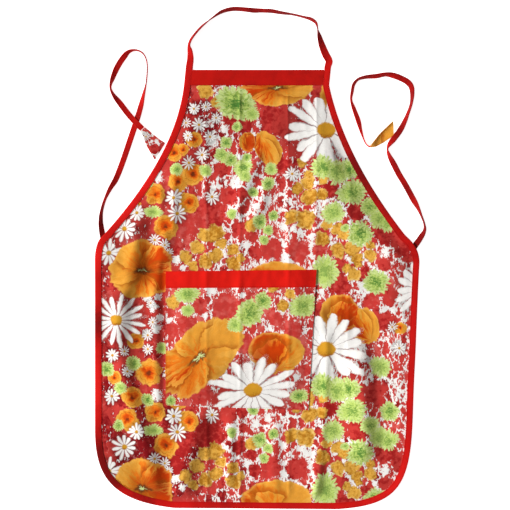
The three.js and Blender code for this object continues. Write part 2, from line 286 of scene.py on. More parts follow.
# The white gaps in the speckle are this much longer and narrower than its blots would leave
GAP_STRETCH = 1.28

# Places on the chart with more or less white: x, y, spread and change
WHITE_ZONES = [
    (205, 120, 28, 0.15), (212, 185, 20, 0.45), (232, 192, 20, 0.3), (280, 118, 30, -0.6),
    (300, 160, 22, -0.3), (200, 245, 22, 0.4),
]

# Places on the apron, by their squares, where painted shade deepens the red, or painted light pales it, in
# the same columns
RED_PAINTED_SHADE_ZONES = [
    (275, 115, 45, 0.13), (205, 135, 40, 0.12), (360, 210, 38, 0.16), (150, 455, 45, 0.3),
    (130, 380, 42, 0.14), (402, 246, 14, 0.1), (300, 250, 34, -0.12), (215, 470, 40, 0.08),
    (360, 440, 40, 0.1), (180, 225, 30, -0.14), (200, 100, 30, 0.15),
]
# The same painted shade over the whole pocket and over the printed ends; below nothing it is painted light
POCKET_RED_PAINTED_SHADE = -0.12
ENDS_RED_PAINTED_SHADE = 0.08

# Places on the apron, by their squares, where painted shade darkens the whole print, in the same columns
PRINT_PAINTED_SHADE_ZONES = [
    (225, 112, 42, 0.13), (362, 198, 40, 0.16), (312, 125, 30, 0.08), (135, 480, 32, 0.16),
    (350, 475, 34, 0.12), (237, 155, 24, 0.08), (300, 95, 30, 0.06), (122, 266, 24, 0.15),
    (152, 455, 34, 0.06),
]
POCKET_PRINT_PAINTED_SHADE_ZONES = [(178, 385, 26, 0.12)]

# The chart's squares in the middle of the sewn edge of each printed tie end
LEFT_END_SQUARE = (466, 142)
RIGHT_END_SQUARE = (123, 252)

# From one round flower of a kind to the next, the tone steps on by this share
TONE_STEP = 0.618

# Flowers that are round: x to the right, y down, radius, in squares
BODY_FLOWERS = {
    "rose": [
        (317, 92, 8), (392, 234, 6.5), (398, 242, 9), (404, 249, 8), (408, 257, 6), (275, 120, 15),
        (245, 125, 9), (230, 118, 8), (283, 165, 9), (270, 173, 6), (303, 155, 6), (315, 170, 6),
        (222, 170, 8), (228, 196, 9.5), (242, 194, 6), (243, 210, 5), (239, 229, 7.5), (252, 236, 6),
        (271, 249, 11.5), (255, 252, 7), (297.5, 251, 11.5), (330, 190, 8), (357, 212, 11), (323, 232, 6),
        (339, 285, 11), (371, 302, 8), (389, 297, 9), (175, 245, 9), (180, 225, 14), (210, 215, 16),
        (338, 262, 6), (384, 265, 7), (385, 103, 10), (375, 175, 12), (360, 180, 6), (385, 235, 10),
        (320, 250, 8), (342, 265, 7), (365, 272, 6), (300, 150, 6), (304, 125, 6), (468, 164.5, 4.8),
    ],
    "patch": [
        (256, 207, 4.5), (247, 245, 5), (312, 237, 4.5), (312.5, 246, 4.5), (313, 255, 4.5),
        (225, 129, 4.5), (212, 140, 6), (259, 124, 4), (276, 143, 4), (216, 160, 4), (268, 200, 4.5),
        (283, 227, 5), (284.5, 245, 3.5), (284, 256, 4), (385, 252, 5), (350, 260, 5), (362, 285, 5),
        (385, 310, 5), (147, 297, 5), (153, 307, 5.5), (158, 297, 4), (160, 318, 4), (156, 329, 5),
        (147, 333, 4.5), (157, 177, 6.5), (177, 260, 5), (183, 268, 4), (462.5, 161, 2.8),
        (466, 157.5, 2.2), (471, 171, 2.6),
    ],
    "gold": [
        (206, 91, 8), (216, 103, 5), (205, 235, 7), (215, 234, 9), (221, 243, 5.5), (198, 248, 7),
        (233, 250, 6.5), (186, 257, 6.5), (205, 261, 6.5), (216, 256, 7), (193, 266, 5), (233, 263, 7),
        (240, 258, 5), (251, 225, 6), (297, 189, 6.5), (308, 183, 7), (310, 197, 8), (322, 195, 6),
        (322, 180, 5), (302, 163, 5), (309, 175, 5), (291, 218, 7), (305, 219, 8.5), (327, 225, 5),
        (323, 239, 7), (338, 229, 6), (343, 235, 6), (338, 250, 7), (352, 250, 8), (357, 258, 6),
        (370, 245, 5), (370, 255, 6), (358, 263, 5), (347, 268, 5), (353, 274, 6),
    ],
    "mum": [
        (251.5, 114, 7), (323, 168, 11), (337, 172, 11.5), (349, 170, 10), (370, 207, 9), (380, 219, 10),
        (226, 143, 6), (222, 155, 7), (231, 160, 6), (243, 168, 9), (245, 176, 6), (253, 192, 5),
        (237, 127, 5), (271, 169, 6), (268, 184, 7), (232, 214, 5), (247, 158, 4.5), (177, 170, 6),
        (205, 171, 6), (260, 222, 7), (268, 230, 5), (273, 216, 5), (264, 240, 4.5), (333, 213, 10),
        (360, 234, 12), (345, 228, 4), (380, 149, 10), (389, 193, 9), (388, 222, 10), (107, 151, 7),
        (134, 145, 7), (121, 169, 6), (148, 182, 6), (119, 207, 5.5), (162, 130, 5.5),
    ],
    "bloom": [
        (194, 140, 8), (183, 150, 6), (174, 153, 9), (193, 174, 11), (178, 182, 9.5), (189, 203, 10),
        (155, 194, 10.5), (166, 227, 12), (136, 123, 8.5), (149, 155, 13), (115, 159, 7),
        (133, 179, 10.5), (128, 201, 11.5), (400, 110, 6),
    ],
    "daisy": [
        (194, 109, 7), (206, 107, 6), (199, 125, 8), (186, 123, 6), (216, 118, 6), (188, 136, 6),
        (210, 137, 7), (202, 155, 8), (189, 163, 8), (212, 197, 8.5), (173.8, 198, 10),
        (177.4, 213.6, 11), (292, 174, 8), (137, 213, 10), (124.6, 229, 15.5), (109, 253, 15),
        (155, 240, 7.5), (165, 245, 6.5), (169, 252, 5), (151, 303, 5), (153, 322, 6), (148, 335, 7),
        (148, 131, 6.5), (113, 137, 8), (125, 133, 6), (128, 153, 7), (112, 178, 9), (392, 109, 6),
        (399, 130, 8), (468, 150, 5),
    ],
}
POCKET_FLOWERS = {
    "rose": [
        (226, 308, 14), (200, 306, 8), (172, 330, 8), (186, 325, 9), (200, 392, 12), (275, 318, 8),
        (293, 330, 10), (305, 370, 6), (297, 403, 8), (245, 345, 10),
    ],
    "patch": [(211, 290, 6), (243, 295, 3), (205, 315, 4), (282, 312, 4), (303, 330, 4), (297, 377, 4)],
    "gold": [(173, 302, 6.5), (283, 306, 5.5), (290, 294, 5), (273, 288, 5)],
    "mum": [(188, 310, 6), (171, 401, 5)],
    "bloom": [],
    "daisy": [],
}

# Great flowers and loose petals: x, y, half width and half height in squares, a tone from gold, 0, to deep
# orange, 1, and how far they are turned in degrees; one with a half width below nothing is a mirror image
BODY_GREAT_FLOWERS = {
    "poppy": [
        (142.5, 270, 32.5, 28.5, 0.46, 0), (276, 306, -36, 17.5, 0.4, 4),
    ],
    "petal": [
        (340, 314.5, 20.5, 19, 0.66, -5), (364.5, 325.5, -13.5, 19.5, 0.3, 25),
        (248, 142, 8, 9.5, 1.0, 0), (277, 281, -35, 19, 0.12, 0), (268, 149, 12, 18, 0.26, 206),
    ],
    "great_daisy": [
        (326, 131, 46, 40, 0.1, 0), (117, 320, 31, 28, 0.9, 0), (422, 289, 32, 29, 0.1, 80),
    ],
    "mum": [
        (236.5, 104, 19.5, 14.5, 1.0, -16), (352, 193, 13, 12, 0.5, 0), (325, 271, 13, 14, 0.2, 0),
        (376, 282, 12.5, 10.5, 0.9, -20), (153.5, 212, 9, 5.5, 0.0, 0),
    ],
}
POCKET_GREAT_FLOWERS = {
    "poppy": [(199.5, 357, 52, 28.5, 0.18, 225)],
    "petal": [(275.5, 352, -27.5, 21, 0.74, 0)],
    "great_daisy": [(253, 390, 45, 36, 0.2, 10)],
    "mum": [
        (188, 294, 12, 8, 0.4, 0), (250, 313, 14, 11, 0.6, 40), (303, 306, 13, 11, 0.3, 25),
        (299, 396, 9, 6, 0.9, 0), (235, 325, 8, 7, 0.15, 0), (263, 301, 8, 8, 0.8, 0),
    ],
}

# Colours, as red, green and blue out of 255
COLOURS = {
    "tape": (196, 20, 16),
    "tape_shade": (124, 12, 12),
    "tape_light": (228, 30, 26),
    "band": (194, 20, 12),
    "band_shade": (160, 15, 10),
    "band_light": (222, 26, 16),
    "thread": (176, 16, 16),
    "ground": (198, 60, 54),
    "ground_shade": (136, 16, 22),
    "ground_light": (218, 102, 94),
    "white": (240, 237, 232),
    "grey": (176, 172, 170),
    "petal_line": (112, 84, 86),
    "rose": (198, 58, 52),
    "rose_shade": (160, 28, 28),
    "gold": (226, 170, 70),
    "gold_shade": (180, 118, 28),
    "gold_light": (238, 202, 120),
    "poppy_gold": (227, 154, 52),
    "poppy_shade": (168, 84, 14),
    "leaf": (186, 208, 106),
    "leaf_shade": (144, 168, 76),
    "leaf_light": (208, 222, 150),
    "leaf_core": (78, 126, 50),
    "orange": (230, 122, 26),
    "orange_deep": (200, 62, 2),
    "orange_light": (238, 178, 78),
    "brown": (92, 46, 18),
    "eye": (204, 146, 38),
    "eye_shade": (160, 98, 20),
    "wrong_side": (226, 178, 164),
    "floor": (252, 252, 252),
}

# From one thread of the weave to the next, and from one strand of the sewing thread to the next
THREAD_PITCH = 0.55 * MM
STRAND_PITCH = 0.5 * MM

# How deep the weave is in millimetres, and how much of the print shows on the wrong side
WEAVE_DEPTH = 0.12
SHOW_THROUGH = 0.45

# All finishes are matt: how much they mirror, and how soft the shine of their fluff is
MIRRORING = 0.08
FLUFF_ROUGHNESS = 0.5

# The white floor: its glow, which hides most of the shadows on it, half its width, and how far it lies below
# the apron
FLOOR_GLOW = 0.84
FLOOR_HALF = 6000.0
FLOOR_DROP = 0.4

# Light from all round, and softly from the left: their strengths, the spread of the second and its direction
LIGHT = {"sky": 0.24, "window": 4.05, "spread": 20, "direction": (1.25, -0.15, -1.0)}

# The picture's width on the floor, its middle, how high the camera hangs over it, and its sensor's width
PICTURE_WIDTH = 944.5
PICTURE_MIDDLE = (-9.8, 6.1)
CAMERA_HEIGHT = 3000.0
SENSOR = 36.0


def linear(name, strength=1.0):
    """One of the colours as the renderer takes it, brightened or dimmed by a strength."""
    shares = np.array(COLOURS[name]) / 255
    low = shares / 12.92
    high = ((shares + 0.055) / 1.055) ** 2.4
    return (*(np.where(shares <= 0.04045, low, high) * strength), 1.0)


# Lines and curves

def ease(value, low, high):
    t = np.clip((value - low) / (high - low), 0, 1)
    return t * t * (3 - 2 * t)


def mix(a, b, t):
    return np.asarray(a, float) * (1 - t) + np.asarray(b, float) * t


def curve(*points):
    """A line through its end points that the points between them pull at."""
    t = np.linspace(0, 1, CURVE_POINTS)[:, None]
    level = [np.array([point], float) for point in points]
    while len(level) > 1:
        level = [mix(a, b, t) for a, b in zip(level, level[1:])]
    return level[0]


def lengths_along(points):
    steps = np.linalg.norm(np.diff(points, axis=0), axis=1)
    return np.concatenate([[0], np.cumsum(steps)])


def at_lengths(points, lengths, wanted):
    return np.stack([np.interp(wanted, lengths, column) for column in points.T], axis=1)


def directions(points):
    along = np.gradient(points, axis=0)
    return along / np.linalg.norm(along, axis=1)[:, None]


def spaced(points, step):
    """Points at equal steps along a line."""
    lengths = lengths_along(points)
    count = max(4, round(lengths[-1] / step))
    return at_lengths(points, lengths, np.linspace(0, lengths[-1], count + 1))


def distance_to(points, line):
    """Each point's distance to a line."""
    nearest = np.full(len(points), np.inf)
    for start, end in zip(line[:-1], line[1:]):
        run = end - start
        t = np.clip((points - start) @ run / (run @ run), 0, 1)
        nearest = np.minimum(nearest, np.linalg.norm(points - start - t[:, None] * run, axis=1))
    return nearest


def waves(points, length, seed):
    """Soft noise from -1 to 1 over points of the plan, with waves of about this length."""
    return np.array([noise.noise((x / length, y / length, seed)) for x, y in points])


# The outline

def side_edge(side):
    """One side of the outline, from the bib's corner to the hem."""
    stretches = [
        curve(side["bib"], side["shoulder"]),
        curve(side["shoulder"], side["armhole_pull"], side["waist"]),
        curve(side["waist"], side["corner_pull"], side["side"]),
        curve(side["side"], side["low"]),
        curve(side["low"], side["low_pull"], side["hem_pull"], side["hem"]),
    ]
    return np.concatenate([stretches[0]] + [stretch[1:] for stretch in stretches[1:]])


def into_cloth(points, turn):
    """The direction into the cloth at each point of a line.

    The turn is 1 where the cloth lies to the left of the line and -1 where it lies to the right.
    """
    along = directions(points)
    return turn * np.stack([-along[:, 1], along[:, 0]], axis=1)


LEFT = spaced(side_edge(EDGE["left"]), CLOTH_STEP)
RIGHT_EDGE = side_edge(EDGE["right"])
RIGHT = spaced(RIGHT_EDGE, lengths_along(RIGHT_EDGE)[-1] / (len(LEFT) - 1))
OUTLINE = np.concatenate([LEFT, RIGHT[::-1]])
BOUND_EDGE = spaced(OUTLINE, TAPE_STEP)
BOUND_LINE = spaced(OUTLINE, LINE_STEP)


def inset(points, turn, distance):
    return points + into_cloth(points, turn) * distance


# How high the laid cloth lies

def to_pocket(points):
    """Distance outside the pocket, nothing within it."""
    x, y = points.T
    across = np.maximum(POCKET["mouth_left"][0] - x, x - POCKET["mouth_right"][0])
    down = np.maximum(POCKET["bottom_right"][1] - y, y - POCKET["mouth_right"][1])
    return np.hypot(np.maximum(across, 0), np.maximum(down, 0))


def clear_of_seams(points, to_edge, fade):
    """Nothing at the sewn edges, and 1 where the cloth is free of them."""
    top = ease(BIB_TOP - points[:, 1], *fade["top"])
    return ease(to_edge, *fade["edge"]) * top * ease(to_pocket(points), *fade["pocket"])


def ridge_sum(points, ridges, shape):
    total = np.zeros(len(points))
    for line, height, spread in ridges:
        away = distance_to(points, np.array(line, float)) / spread
        total += height * shape(away)
    return total


def soft_folds(points):
    return ridge_sum(points, FOLDS, lambda away: np.exp(-(away ** 2)))


def creases(points):
    return ridge_sum(points, CREASES, lambda away: np.exp(-away))


def crumple(points):
    """Small unevenness, never below nothing."""
    drawn_out = points * [1, CRUMPLE["stretch"]]
    coarse = waves(drawn_out, CRUMPLE["length"], SEEDS["crumple"])
    fine = waves(drawn_out, CRUMPLE["length"] / CRUMPLE["finer"], SEEDS["fine_crumple"])
    both = CRUMPLE_SHARES["coarse"] * coarse + CRUMPLE_SHARES["fine"] * fine
    return CRUMPLE["height"] * np.clip(CRUMPLE["level"] + both, 0, 1)


def edge_rise(points):
    total = np.zeros(len(points))
    for x, y, height, spread in EDGE_LIFTS:
        away = np.linalg.norm(points - [x, y], axis=1) / spread
        total += height * np.exp(-(away ** 2))
    return total


def edge_wave(points, to_edge):
    """The sewn edge lifts a little off the floor here and there."""
    wave = waves(points, EDGE_WAVE["length"], SEEDS["edge"])
    lift = EDGE_WAVE["height"] * np.clip(EDGE_WAVE["level"] + wave, 0, 1)
    return lift * (1 - ease(to_edge, *EDGE_WAVE["reach"])) * ease(to_pocket(points), *FOLD_FADE["pocket"])


def cloth_height(points):
    """Underside of the cloth over the floor."""
    to_edge = distance_to(points, BOUND_LINE)
    near_side = BINDING_WIDTH + STRIP_MARGIN
    near_top = BIB_BAND_HEIGHT + STRIP_MARGIN
    side = 1 - ease(to_edge, near_side, near_side + EDGE_EASE)
    top = 1 - ease(BIB_TOP - points[:, 1], near_top, near_top + EDGE_EASE)
    height = EDGE_LIFT * np.maximum(side, top) + edge_rise(points) + edge_wave(points, to_edge)
    height += soft_folds(points) * clear_of_seams(points, to_edge, FOLD_FADE)
    return height + (creases(points) + crumple(points)) * clear_of_seams(points, to_edge, CREASE_FADE)


# Meshes

def closed_sheet(upper, lower):
    """Corner points and four-sided faces of a sheet between two grids of points, closed round its rim."""
    rows, columns = upper.shape[:2]
    count = rows * columns
    number = np.arange(count).reshape(rows, columns)
    quads = [number[:-1, :-1], number[:-1, 1:], number[1:, 1:], number[1:, :-1]]
    quads = np.stack(quads, axis=-1).reshape(-1, 4)
    rim = np.concatenate([number[0, :-1], number[:-1, -1], number[-1, :0:-1], number[:0:-1, 0]])
    after = np.roll(rim, -1)
    sides = np.stack([rim, rim + count, after + count, after], axis=-1)
    faces = np.concatenate([quads, quads[:, ::-1] + count, sides])
    return np.concatenate([upper.reshape(-1, 3), lower.reshape(-1, 3)]), faces


def outward(points, faces):
    """The faces, turned over if the closed mesh is inside out."""
    a, b, c, d = (points[faces[:, i]] for i in range(4))
    volume = np.einsum("ij,ij->i", a, np.cross(b, c)).sum() + np.einsum("ij,ij->i", a, np.cross(c, d)).sum()
    return faces if volume > 0 else faces[:, ::-1]


def add_piece(name, points, faces, material):
    """A smooth mesh in the scene, from points in millimetres."""
    mesh = bpy.data.meshes.new(name)
    mesh.from_pydata((points * MM).tolist(), [], faces.tolist())
    mesh.validate()
    mesh.shade_smooth()
    mesh.set_sharp_from_angle(angle=math.radians(SHARP_ANGLE))
    mesh.materials.append(material)
    piece = bpy.data.objects.new(name, mesh)
    bpy.context.scene.collection.objects.link(piece)
    return piece


def write(piece, name, values, kind="FLOAT_VECTOR", domain="POINT"):
    """Keeps numbers with the mesh for its finish to read."""
    attribute = piece.data.attributes.new(name, kind, domain)
    field = "vector" if kind == "FLOAT_VECTOR" else "value"
    attribute.data.foreach_set(field, np.ascontiguousarray(values, np.float32).ravel())


def add_sheet(name, upper, lower, material, cut, underside=0.0):
    """A closed sheet that keeps its places on the flat cut: metres across and along, 1 on a right side."""
    points, faces = closed_sheet(upper, lower)
    faces = outward(points, faces)
    piece = add_piece(name, points, faces, material)
    flat = cut.reshape(-1, 2) * MM
    sides = [np.column_stack([flat, np.full(len(flat), level)]) for level in (1.0, underside)]
    write(piece, "cut", np.concatenate(sides))
    return piece, faces


def settle(piece, node, flat, area=None):
    """Takes a node's place on the apron; its flat cut, in millimetres, is turned into metres and goes no
    further.
    """
    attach(piece, "root")
    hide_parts(node)
    width, length = (side * MM for side in flat)


# Stitching

def stitch_points(path, up):
    """Rounded stitches along a path on the cloth: their corner points and faces."""
    lengths = lengths_along(path)
    count = max(1, int((lengths[-1] - STITCH["length"]) // STITCH["pitch"]))
    starts = (lengths[-1] - count * STITCH["pitch"]) / 2 + np.arange(count) * STITCH["pitch"]
    shares = np.array(STITCH_ALONG)
    girths = np.array(STITCH_GIRTH) * STITCH["radius"]
    rises = np.array(STITCH_RISE) * STITCH["radius"]
    wanted = (starts[:, None] + shares * STITCH["length"]).ravel()
    middle = at_lengths(path, lengths, wanted)
    normal = at_lengths(up, lengths, wanted)
    along = at_lengths(directions(path), lengths, wanted)
    across = np.cross(along, normal)
    turns = np.arange(STITCH_SIDES) * math.tau / STITCH_SIDES
    girth = np.tile(girths, count)[:, None, None]
    spokes = normal[:, None] * np.cos(turns)[:, None] + across[:, None] * np.sin(turns)[:, None]
    rings = middle[:, None] + normal[:, None] * np.tile(rises, count)[:, None, None] + spokes * girth
    number = np.arange(rings.shape[0] * STITCH_SIDES).reshape(count, len(shares), STITCH_SIDES)
    ahead = np.roll(number, -1, axis=2)
    walls = np.stack([number[:, :-1], ahead[:, :-1], ahead[:, 1:], number[:, 1:]], axis=-1).reshape(-1, 4)
    caps = []
    for ring, flip in ((0, 1), (-1, -1)):
        end = number[:, ring, ::-flip]
        caps += [end[:, [0, 1, 2, 3]], end[:, [0, 3, 4, 5]]]
    return rings.reshape(-1, 3), np.concatenate([walls, *caps])


def add_stitches(name, rows, material):
    """Rows of stitches in one piece; a row is a path and the direction out of the cloth at each point."""
    points, faces, count = [], [], 0
    for path, up in rows:
        row_points, row_faces = stitch_points(path, up)
        points.append(row_points)
        faces.append(row_faces + count)
        count += len(row_points)
    piece = add_piece(name, np.concatenate(points), np.concatenate(faces), material)
    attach(piece, "root")
    return piece


def upright(path):
    return np.tile([0.0, 0.0, 1.0], (len(path), 1))


# Finishes

class Socket:
    """A node's output: arithmetic on it adds Math nodes to its finish."""

    def __init__(self, finish, output):
        self.finish = finish
        self.output = output

    def math(self, operation, *values):
        return self.finish.node("Math", {"operation": operation}, dict(enumerate(values)))

    def __add__(self, other):
        return self.math("ADD", self, other)

    def __sub__(self, other):
        return self.math("SUBTRACT", self, other)

    def __rsub__(self, other):
        return self.math("SUBTRACT", other, self)

    def __mul__(self, other):
        return self.math("MULTIPLY", self, other)

    def __truediv__(self, other):
        return self.math("DIVIDE", self, other)

    def __rtruediv__(self, other):
        return self.math("DIVIDE", other, self)

    def __pow__(self, other):
        return self.math("POWER", self, other)

    __radd__ = __add__
    __rmul__ = __mul__

    def sin(self):
        return self.math("SINE", self)

    def whole(self):
        return self.math("ROUND", self)

    def zigzag(self):
        """0 at whole numbers and 1 half way between them."""
        return self.math("PINGPONG", self, 0.5) * 2

    def size(self):
        return self.math("ABSOLUTE", self)

    def least(self, other):
        return self.math("MINIMUM", self, other)

    def most(self, other):
        return self.math("MAXIMUM", self, other)


class Finish:
    """A procedural material, made node by node."""

    def __init__(self, name):
        self.material = bpy.data.materials.new(name)
        self.material.use_nodes = True
        self.tree = self.material.node_tree
        self.tree.nodes.clear()

    def node(self, kind, settings=None, sockets=None, output=0):
        """Adds a node: its settings first, then the values or links of its sockets."""
        node = self.tree.nodes.new("ShaderNode" + kind)
        for name, value in (settings or {}).items():
            setattr(node, name, value)
        for key, value in (sockets or {}).items():
            if isinstance(value, Socket):
                self.tree.links.new(value.output, node.inputs[key])
            else:
                node.inputs[key].default_value = value
        return Socket(self, node.outputs[output]) if node.outputs else None

    def attribute(self, name, output="Vector"):
        return self.node("Attribute", {"attribute_name": name}, output=output)

    def parts(self, vector):
        return [self.node("SeparateXYZ", sockets={0: vector}, output=axis) for axis in range(3)]

    def vector(self, x, y, z):
        return self.node("CombineXYZ", sockets={0: x, 1: y, 2: z})

    def ease(self, value, low, high):
        sockets = {"Value": value, "From Min": low, "From Max": high}
        return self.node("MapRange", {"interpolation_type": "SMOOTHSTEP"}, sockets)

    def noise(self, place, scale, detail=2.0, roughness=0.5, distortion=0.0):
        sockets = {"Vector": place, "Scale": scale, "Detail": detail, "Roughness": roughness}
        sockets["Distortion"] = distortion
        return self.node("TexNoise", sockets=sockets)

    def chance(self, number):
        """A fixed random share for each number."""
        return self.node("TexWhiteNoise", {"noise_dimensions": "1D"}, {"W": number})

    def blend(self, under, over, share):
        """One colour over another."""
        return self.node("Mix", {"data_type": "RGBA"}, {0: share, 6: under, 7: over}, output=2)

    def dim(self, colour, share):
        """A colour times a grey share."""
        sockets = {0: 1.0, 6: colour, 7: self.vector(share, share, share)}
        return self.node("Mix", {"data_type": "RGBA", "blend_type": "MULTIPLY"}, sockets, output=2)

    def done(self, colour, height, depth, roughness, sheen, glow=0.0):
        """Ends the material: its colour, a bump and its depth in millimetres, its gloss and its glow."""
        bump = self.node("Bump", sockets={"Strength": 1.0, "Distance": depth * MM, "Height": height})
        sockets = {"Base Color": colour, "Roughness": roughness, "Normal": bump}
        sockets |= {"Specular IOR Level": MIRRORING}
        sockets |= {"Sheen Weight": sheen, "Sheen Roughness": FLUFF_ROUGHNESS}
        sockets |= {"Emission Color": (1.0, 1.0, 1.0, 1.0), "Emission Strength": glow}
        shader = self.node("BsdfPrincipled", sockets=sockets)
        self.node("OutputMaterial", sockets={"Surface": shader})
        return self.material


def weave(x, y):
    """Threads over and under each other, from 0 to 1."""
    turn = math.tau / THREAD_PITCH / 2
    return 0.5 + 0.5 * (x * turn).sin() * (y * turn).sin()


def relief(threads, slub):
    """How high the surface of the weave is, with its uneven threads."""
    return threads * 0.6 + slub * 0.4


class Flower:
    """The nearest flower of one kind: the place in it, how far out, which way round, and its tone."""

    def __init__(self, sheet, kind, sway, root=0.0):
        """Its rays run from a root that may lie below its middle."""
        finish = sheet.finish
        across, up, self.tone = finish.parts(finish.attribute(kind))
        self.finish = finish
        self.across = across + sheet.sway[0] * sway
        self.up = up + sheet.sway[1] * sway
        self.out = (self.across * self.across + self.up * self.up) ** 0.5
        above = self.up + root
        self.reach = (self.across * self.across + above * above) ** 0.5
        self.round = up.math("ARCTAN2", above, self.across) / math.tau
        self.ray = [side / self.reach.most(0.001) for side in (self.across, above)]

    def inside(self, edge, soft=0.07):
        """1 within an edge that is given in the flower's radius."""
        return 1 - self.finish.ease(self.out - edge, -soft, soft)

    def ruffle(self, bumps):
        """Noise from about -0.3 to 0.3 that changes only round the flower."""
        ring = self.finish.vector(self.ray[0] * bumps + self.tone * 60, self.ray[1] * bumps, self.tone * 17)
        return self.finish.noise(ring, 1.0, 2.0, 0.6) - 0.5

    def silk(self, rays, rings):
        """Noise from about -0.3 to 0.3 that is drawn out along the petals."""
        ray = [side * rays for side in self.ray]
        place = self.finish.vector(ray[0] + self.tone * 31, ray[1], self.reach * rings)
        return self.finish.noise(place, 1.0, 3.0, 0.6, 0.7) - 0.5

    def grain(self, scale):
        """Noise from about -0.3 to 0.3 that grows with the flower."""
        place = self.finish.vector(self.across, self.up, self.tone * 30)
        return self.finish.noise(place, scale, 2.0, 0.6) - 0.5

    def luck(self, turn, count):
        """A random share for each of a number of petals."""
        petal = turn.math("FLOORED_MODULO", turn.whole(), count)
        return self.finish.chance(petal + self.tone * 50)


class Print:
    """The printed ground and the flowers that are laid over it one kind after another."""

    def __init__(self, finish):
        self.finish = finish
        self.x, self.y, self.side = finish.parts(finish.attribute("cut"))
        self.place = finish.vector(self.x, self.y, 0.0)
        self.fine = finish.noise(self.place, 430, 2.0, 0.6) - 0.5
        self.middling = finish.noise(self.place, 120, 3.0, 0.6) - 0.5
        self.broad = finish.noise(self.place, 30, 3.0, 0.55) - 0.5
        sockets = {"Vector": self.place, "Scale": 85, "Detail": 2.0}
        swaying = finish.node("TexNoise", sockets=sockets, output="Color")
        self.sway = [part - 0.5 for part in finish.parts(swaying)]
        # Painted shade that deepens the red ground and the roses; below nothing it is painted light that
        # pales them
        self.deep = finish.attribute("deep", "Fac")
        self.colour = self.ground()

    def tint(self, plain, other, amount):
        """Two of the colours mixed by an amount."""
        return self.finish.blend(linear(plain), linear(other), amount)

    def over(self, under, name, share):
        """One of the colours over what is there."""
        return self.finish.blend(under, linear(name), share)

    def lay(self, colour, share):
        self.colour = self.finish.blend(self.colour, colour, share)

    def shade(self, share):
        """Darkens what has been laid so far."""
        self.colour = self.finish.dim(self.colour, 1 - share)

    def ground(self):
        """Red blots, some darker and some lighter, with ragged white gaps between them."""
        finish = self.finish
        share = finish.attribute("speckle", "Fac")
        across = self.x * GAP_STRETCH
        up = self.y / GAP_STRETCH
        swayed = finish.vector(across + self.sway[0] * 0.015, up + self.sway[1] * 0.015, 0.0)
        blots = {"Vector": swayed, "Scale": 58}
        to_gap = finish.node("TexVoronoi", {"feature": "DISTANCE_TO_EDGE"}, blots)
        blot = finish.parts(finish.node("TexVoronoi", sockets=blots, output="Color"))[0] - 0.5
        drawn_out = finish.vector(across * GAP_STRETCH, up / GAP_STRETCH, 0.0)
        feather = finish.noise(drawn_out, 230, 2.0, 0.65) - 0.5
        ragged = self.broad * 0.6 + self.middling * 0.2 + self.fine * 0.2 + feather * 0.75
        gap = share * 0.26 - 0.13 + ragged
        white = finish.ease(gap - to_gap, -0.03, 0.04)
        dark = self.broad + self.middling * 0.6 + blot * 0.35 + self.deep
        red = self.tint("ground", "ground_shade", finish.ease(dark, 0.0, 0.34))
        light = finish.ease(self.middling - self.broad - blot * 0.4 - self.deep, 0.08, 0.4)
        red = self.over(red, "ground_light", light * 0.8)
        return self.over(red, "white", white)

    def roses(self):
        """Ragged red blots over the speckle."""
        rose = Flower(self, "rose", sway=0.7)
        edge = 0.98 + rose.ruffle(1.4) * 0.9 + self.fine * 0.7 + self.middling * 0.4
        dark = self.middling + self.broad + rose.tone * 0.2 - 0.04 + self.deep
        petals = self.tint("rose", "rose_shade", self.finish.ease(dark, 0.0, 0.3))
        light = self.finish.ease(self.sway[0] - self.deep, 0.06, 0.3) * 0.6
        petals = self.over(petals, "ground_light", light)
        self.lay(petals, rose.inside(edge, 0.06))

    def patches(self):
        """Ragged white blots in the ground."""
        patch = Flower(self, "patch", sway=0.8)
        edge = 0.85 + patch.ruffle(1.2) * 1.4 + self.fine * 2 + self.middling
        white = self.tint("white", "grey", self.finish.ease(self.middling, 0.0, 0.3) * 0.5)
        self.lay(white, patch.inside(edge, 0.06))

    def golds(self):
        """Small blots of gold and amber, with an outline that is pale here and dark there."""
        finish = self.finish
        gold = Flower(self, "gold", sway=0.6)
        ruffle = gold.ruffle(0.9)
        grain = gold.grain(2.4)
        edge = 1.02 + ruffle * 1.5 + self.fine * 0.4
        dark = grain + self.sway[1] * 0.6 + gold.tone * 0.2
        petals = self.tint("gold", "gold_shade", finish.ease(dark, 0.0, 0.32))
        vein = finish.ease((gold.round * 3 + ruffle * 2).zigzag() + grain, 0.84, 1.1)
        petals = self.over(petals, "gold_shade", vein * finish.ease(gold.out, 1.0, 0.3) * 0.7)
        line = finish.ease((gold.out * 1.7 + grain * 1.6).zigzag(), 0.82, 1.0)
        petals = self.over(petals, "gold_shade", line * 0.7)
        rim = finish.ease(gold.out - edge, -0.36, -0.04)
        lit = finish.ease(self.sway[0] + ruffle, -0.12, 0.16)
        petals = self.over(petals, "gold_light", rim * lit * 0.85)
        petals = self.over(petals, "brown", rim * (1 - lit) * 0.4)
        self.lay(petals, gold.inside(edge, 0.07))

    def mums(self):
        """Pale green heads of narrow ragged petals with a darker speckled heart."""
        finish = self.finish
        mum = Flower(self, "mum", sway=0.5)
        petal_count = 19
        turn = mum.round * petal_count + mum.tone * 9
        points = turn.zigzag()
        grain = mum.grain(5.0)
        notch = points * (mum.luck(turn, petal_count) * 0.3 + 0.06)
        edge = 1.14 + mum.ruffle(0.9) * 0.8 - notch + grain * 0.4
        dull = self.middling + grain * 0.8 + mum.tone * 0.3 - 0.14
        petals = self.tint("leaf", "leaf_shade", finish.ease(dull, 0.0, 0.34))
        rim = finish.ease(mum.out - edge - grain, -0.5, -0.06)
        petals = self.over(petals, "leaf_light", rim * 0.8)
        stroke = finish.ease(points + grain * 1.4, 0.6, 1.1) * finish.ease(mum.out, 0.1, 0.4)
        petals = self.over(petals, "leaf_core", stroke * 0.36)
        core = finish.ease(grain * 0.9 + self.fine - mum.out * 0.7, -0.42, -0.06)
        petals = self.over(petals, "leaf_core", core * (0.5 + mum.tone * 0.5))
        self.lay(petals, mum.inside(edge, 0.06))

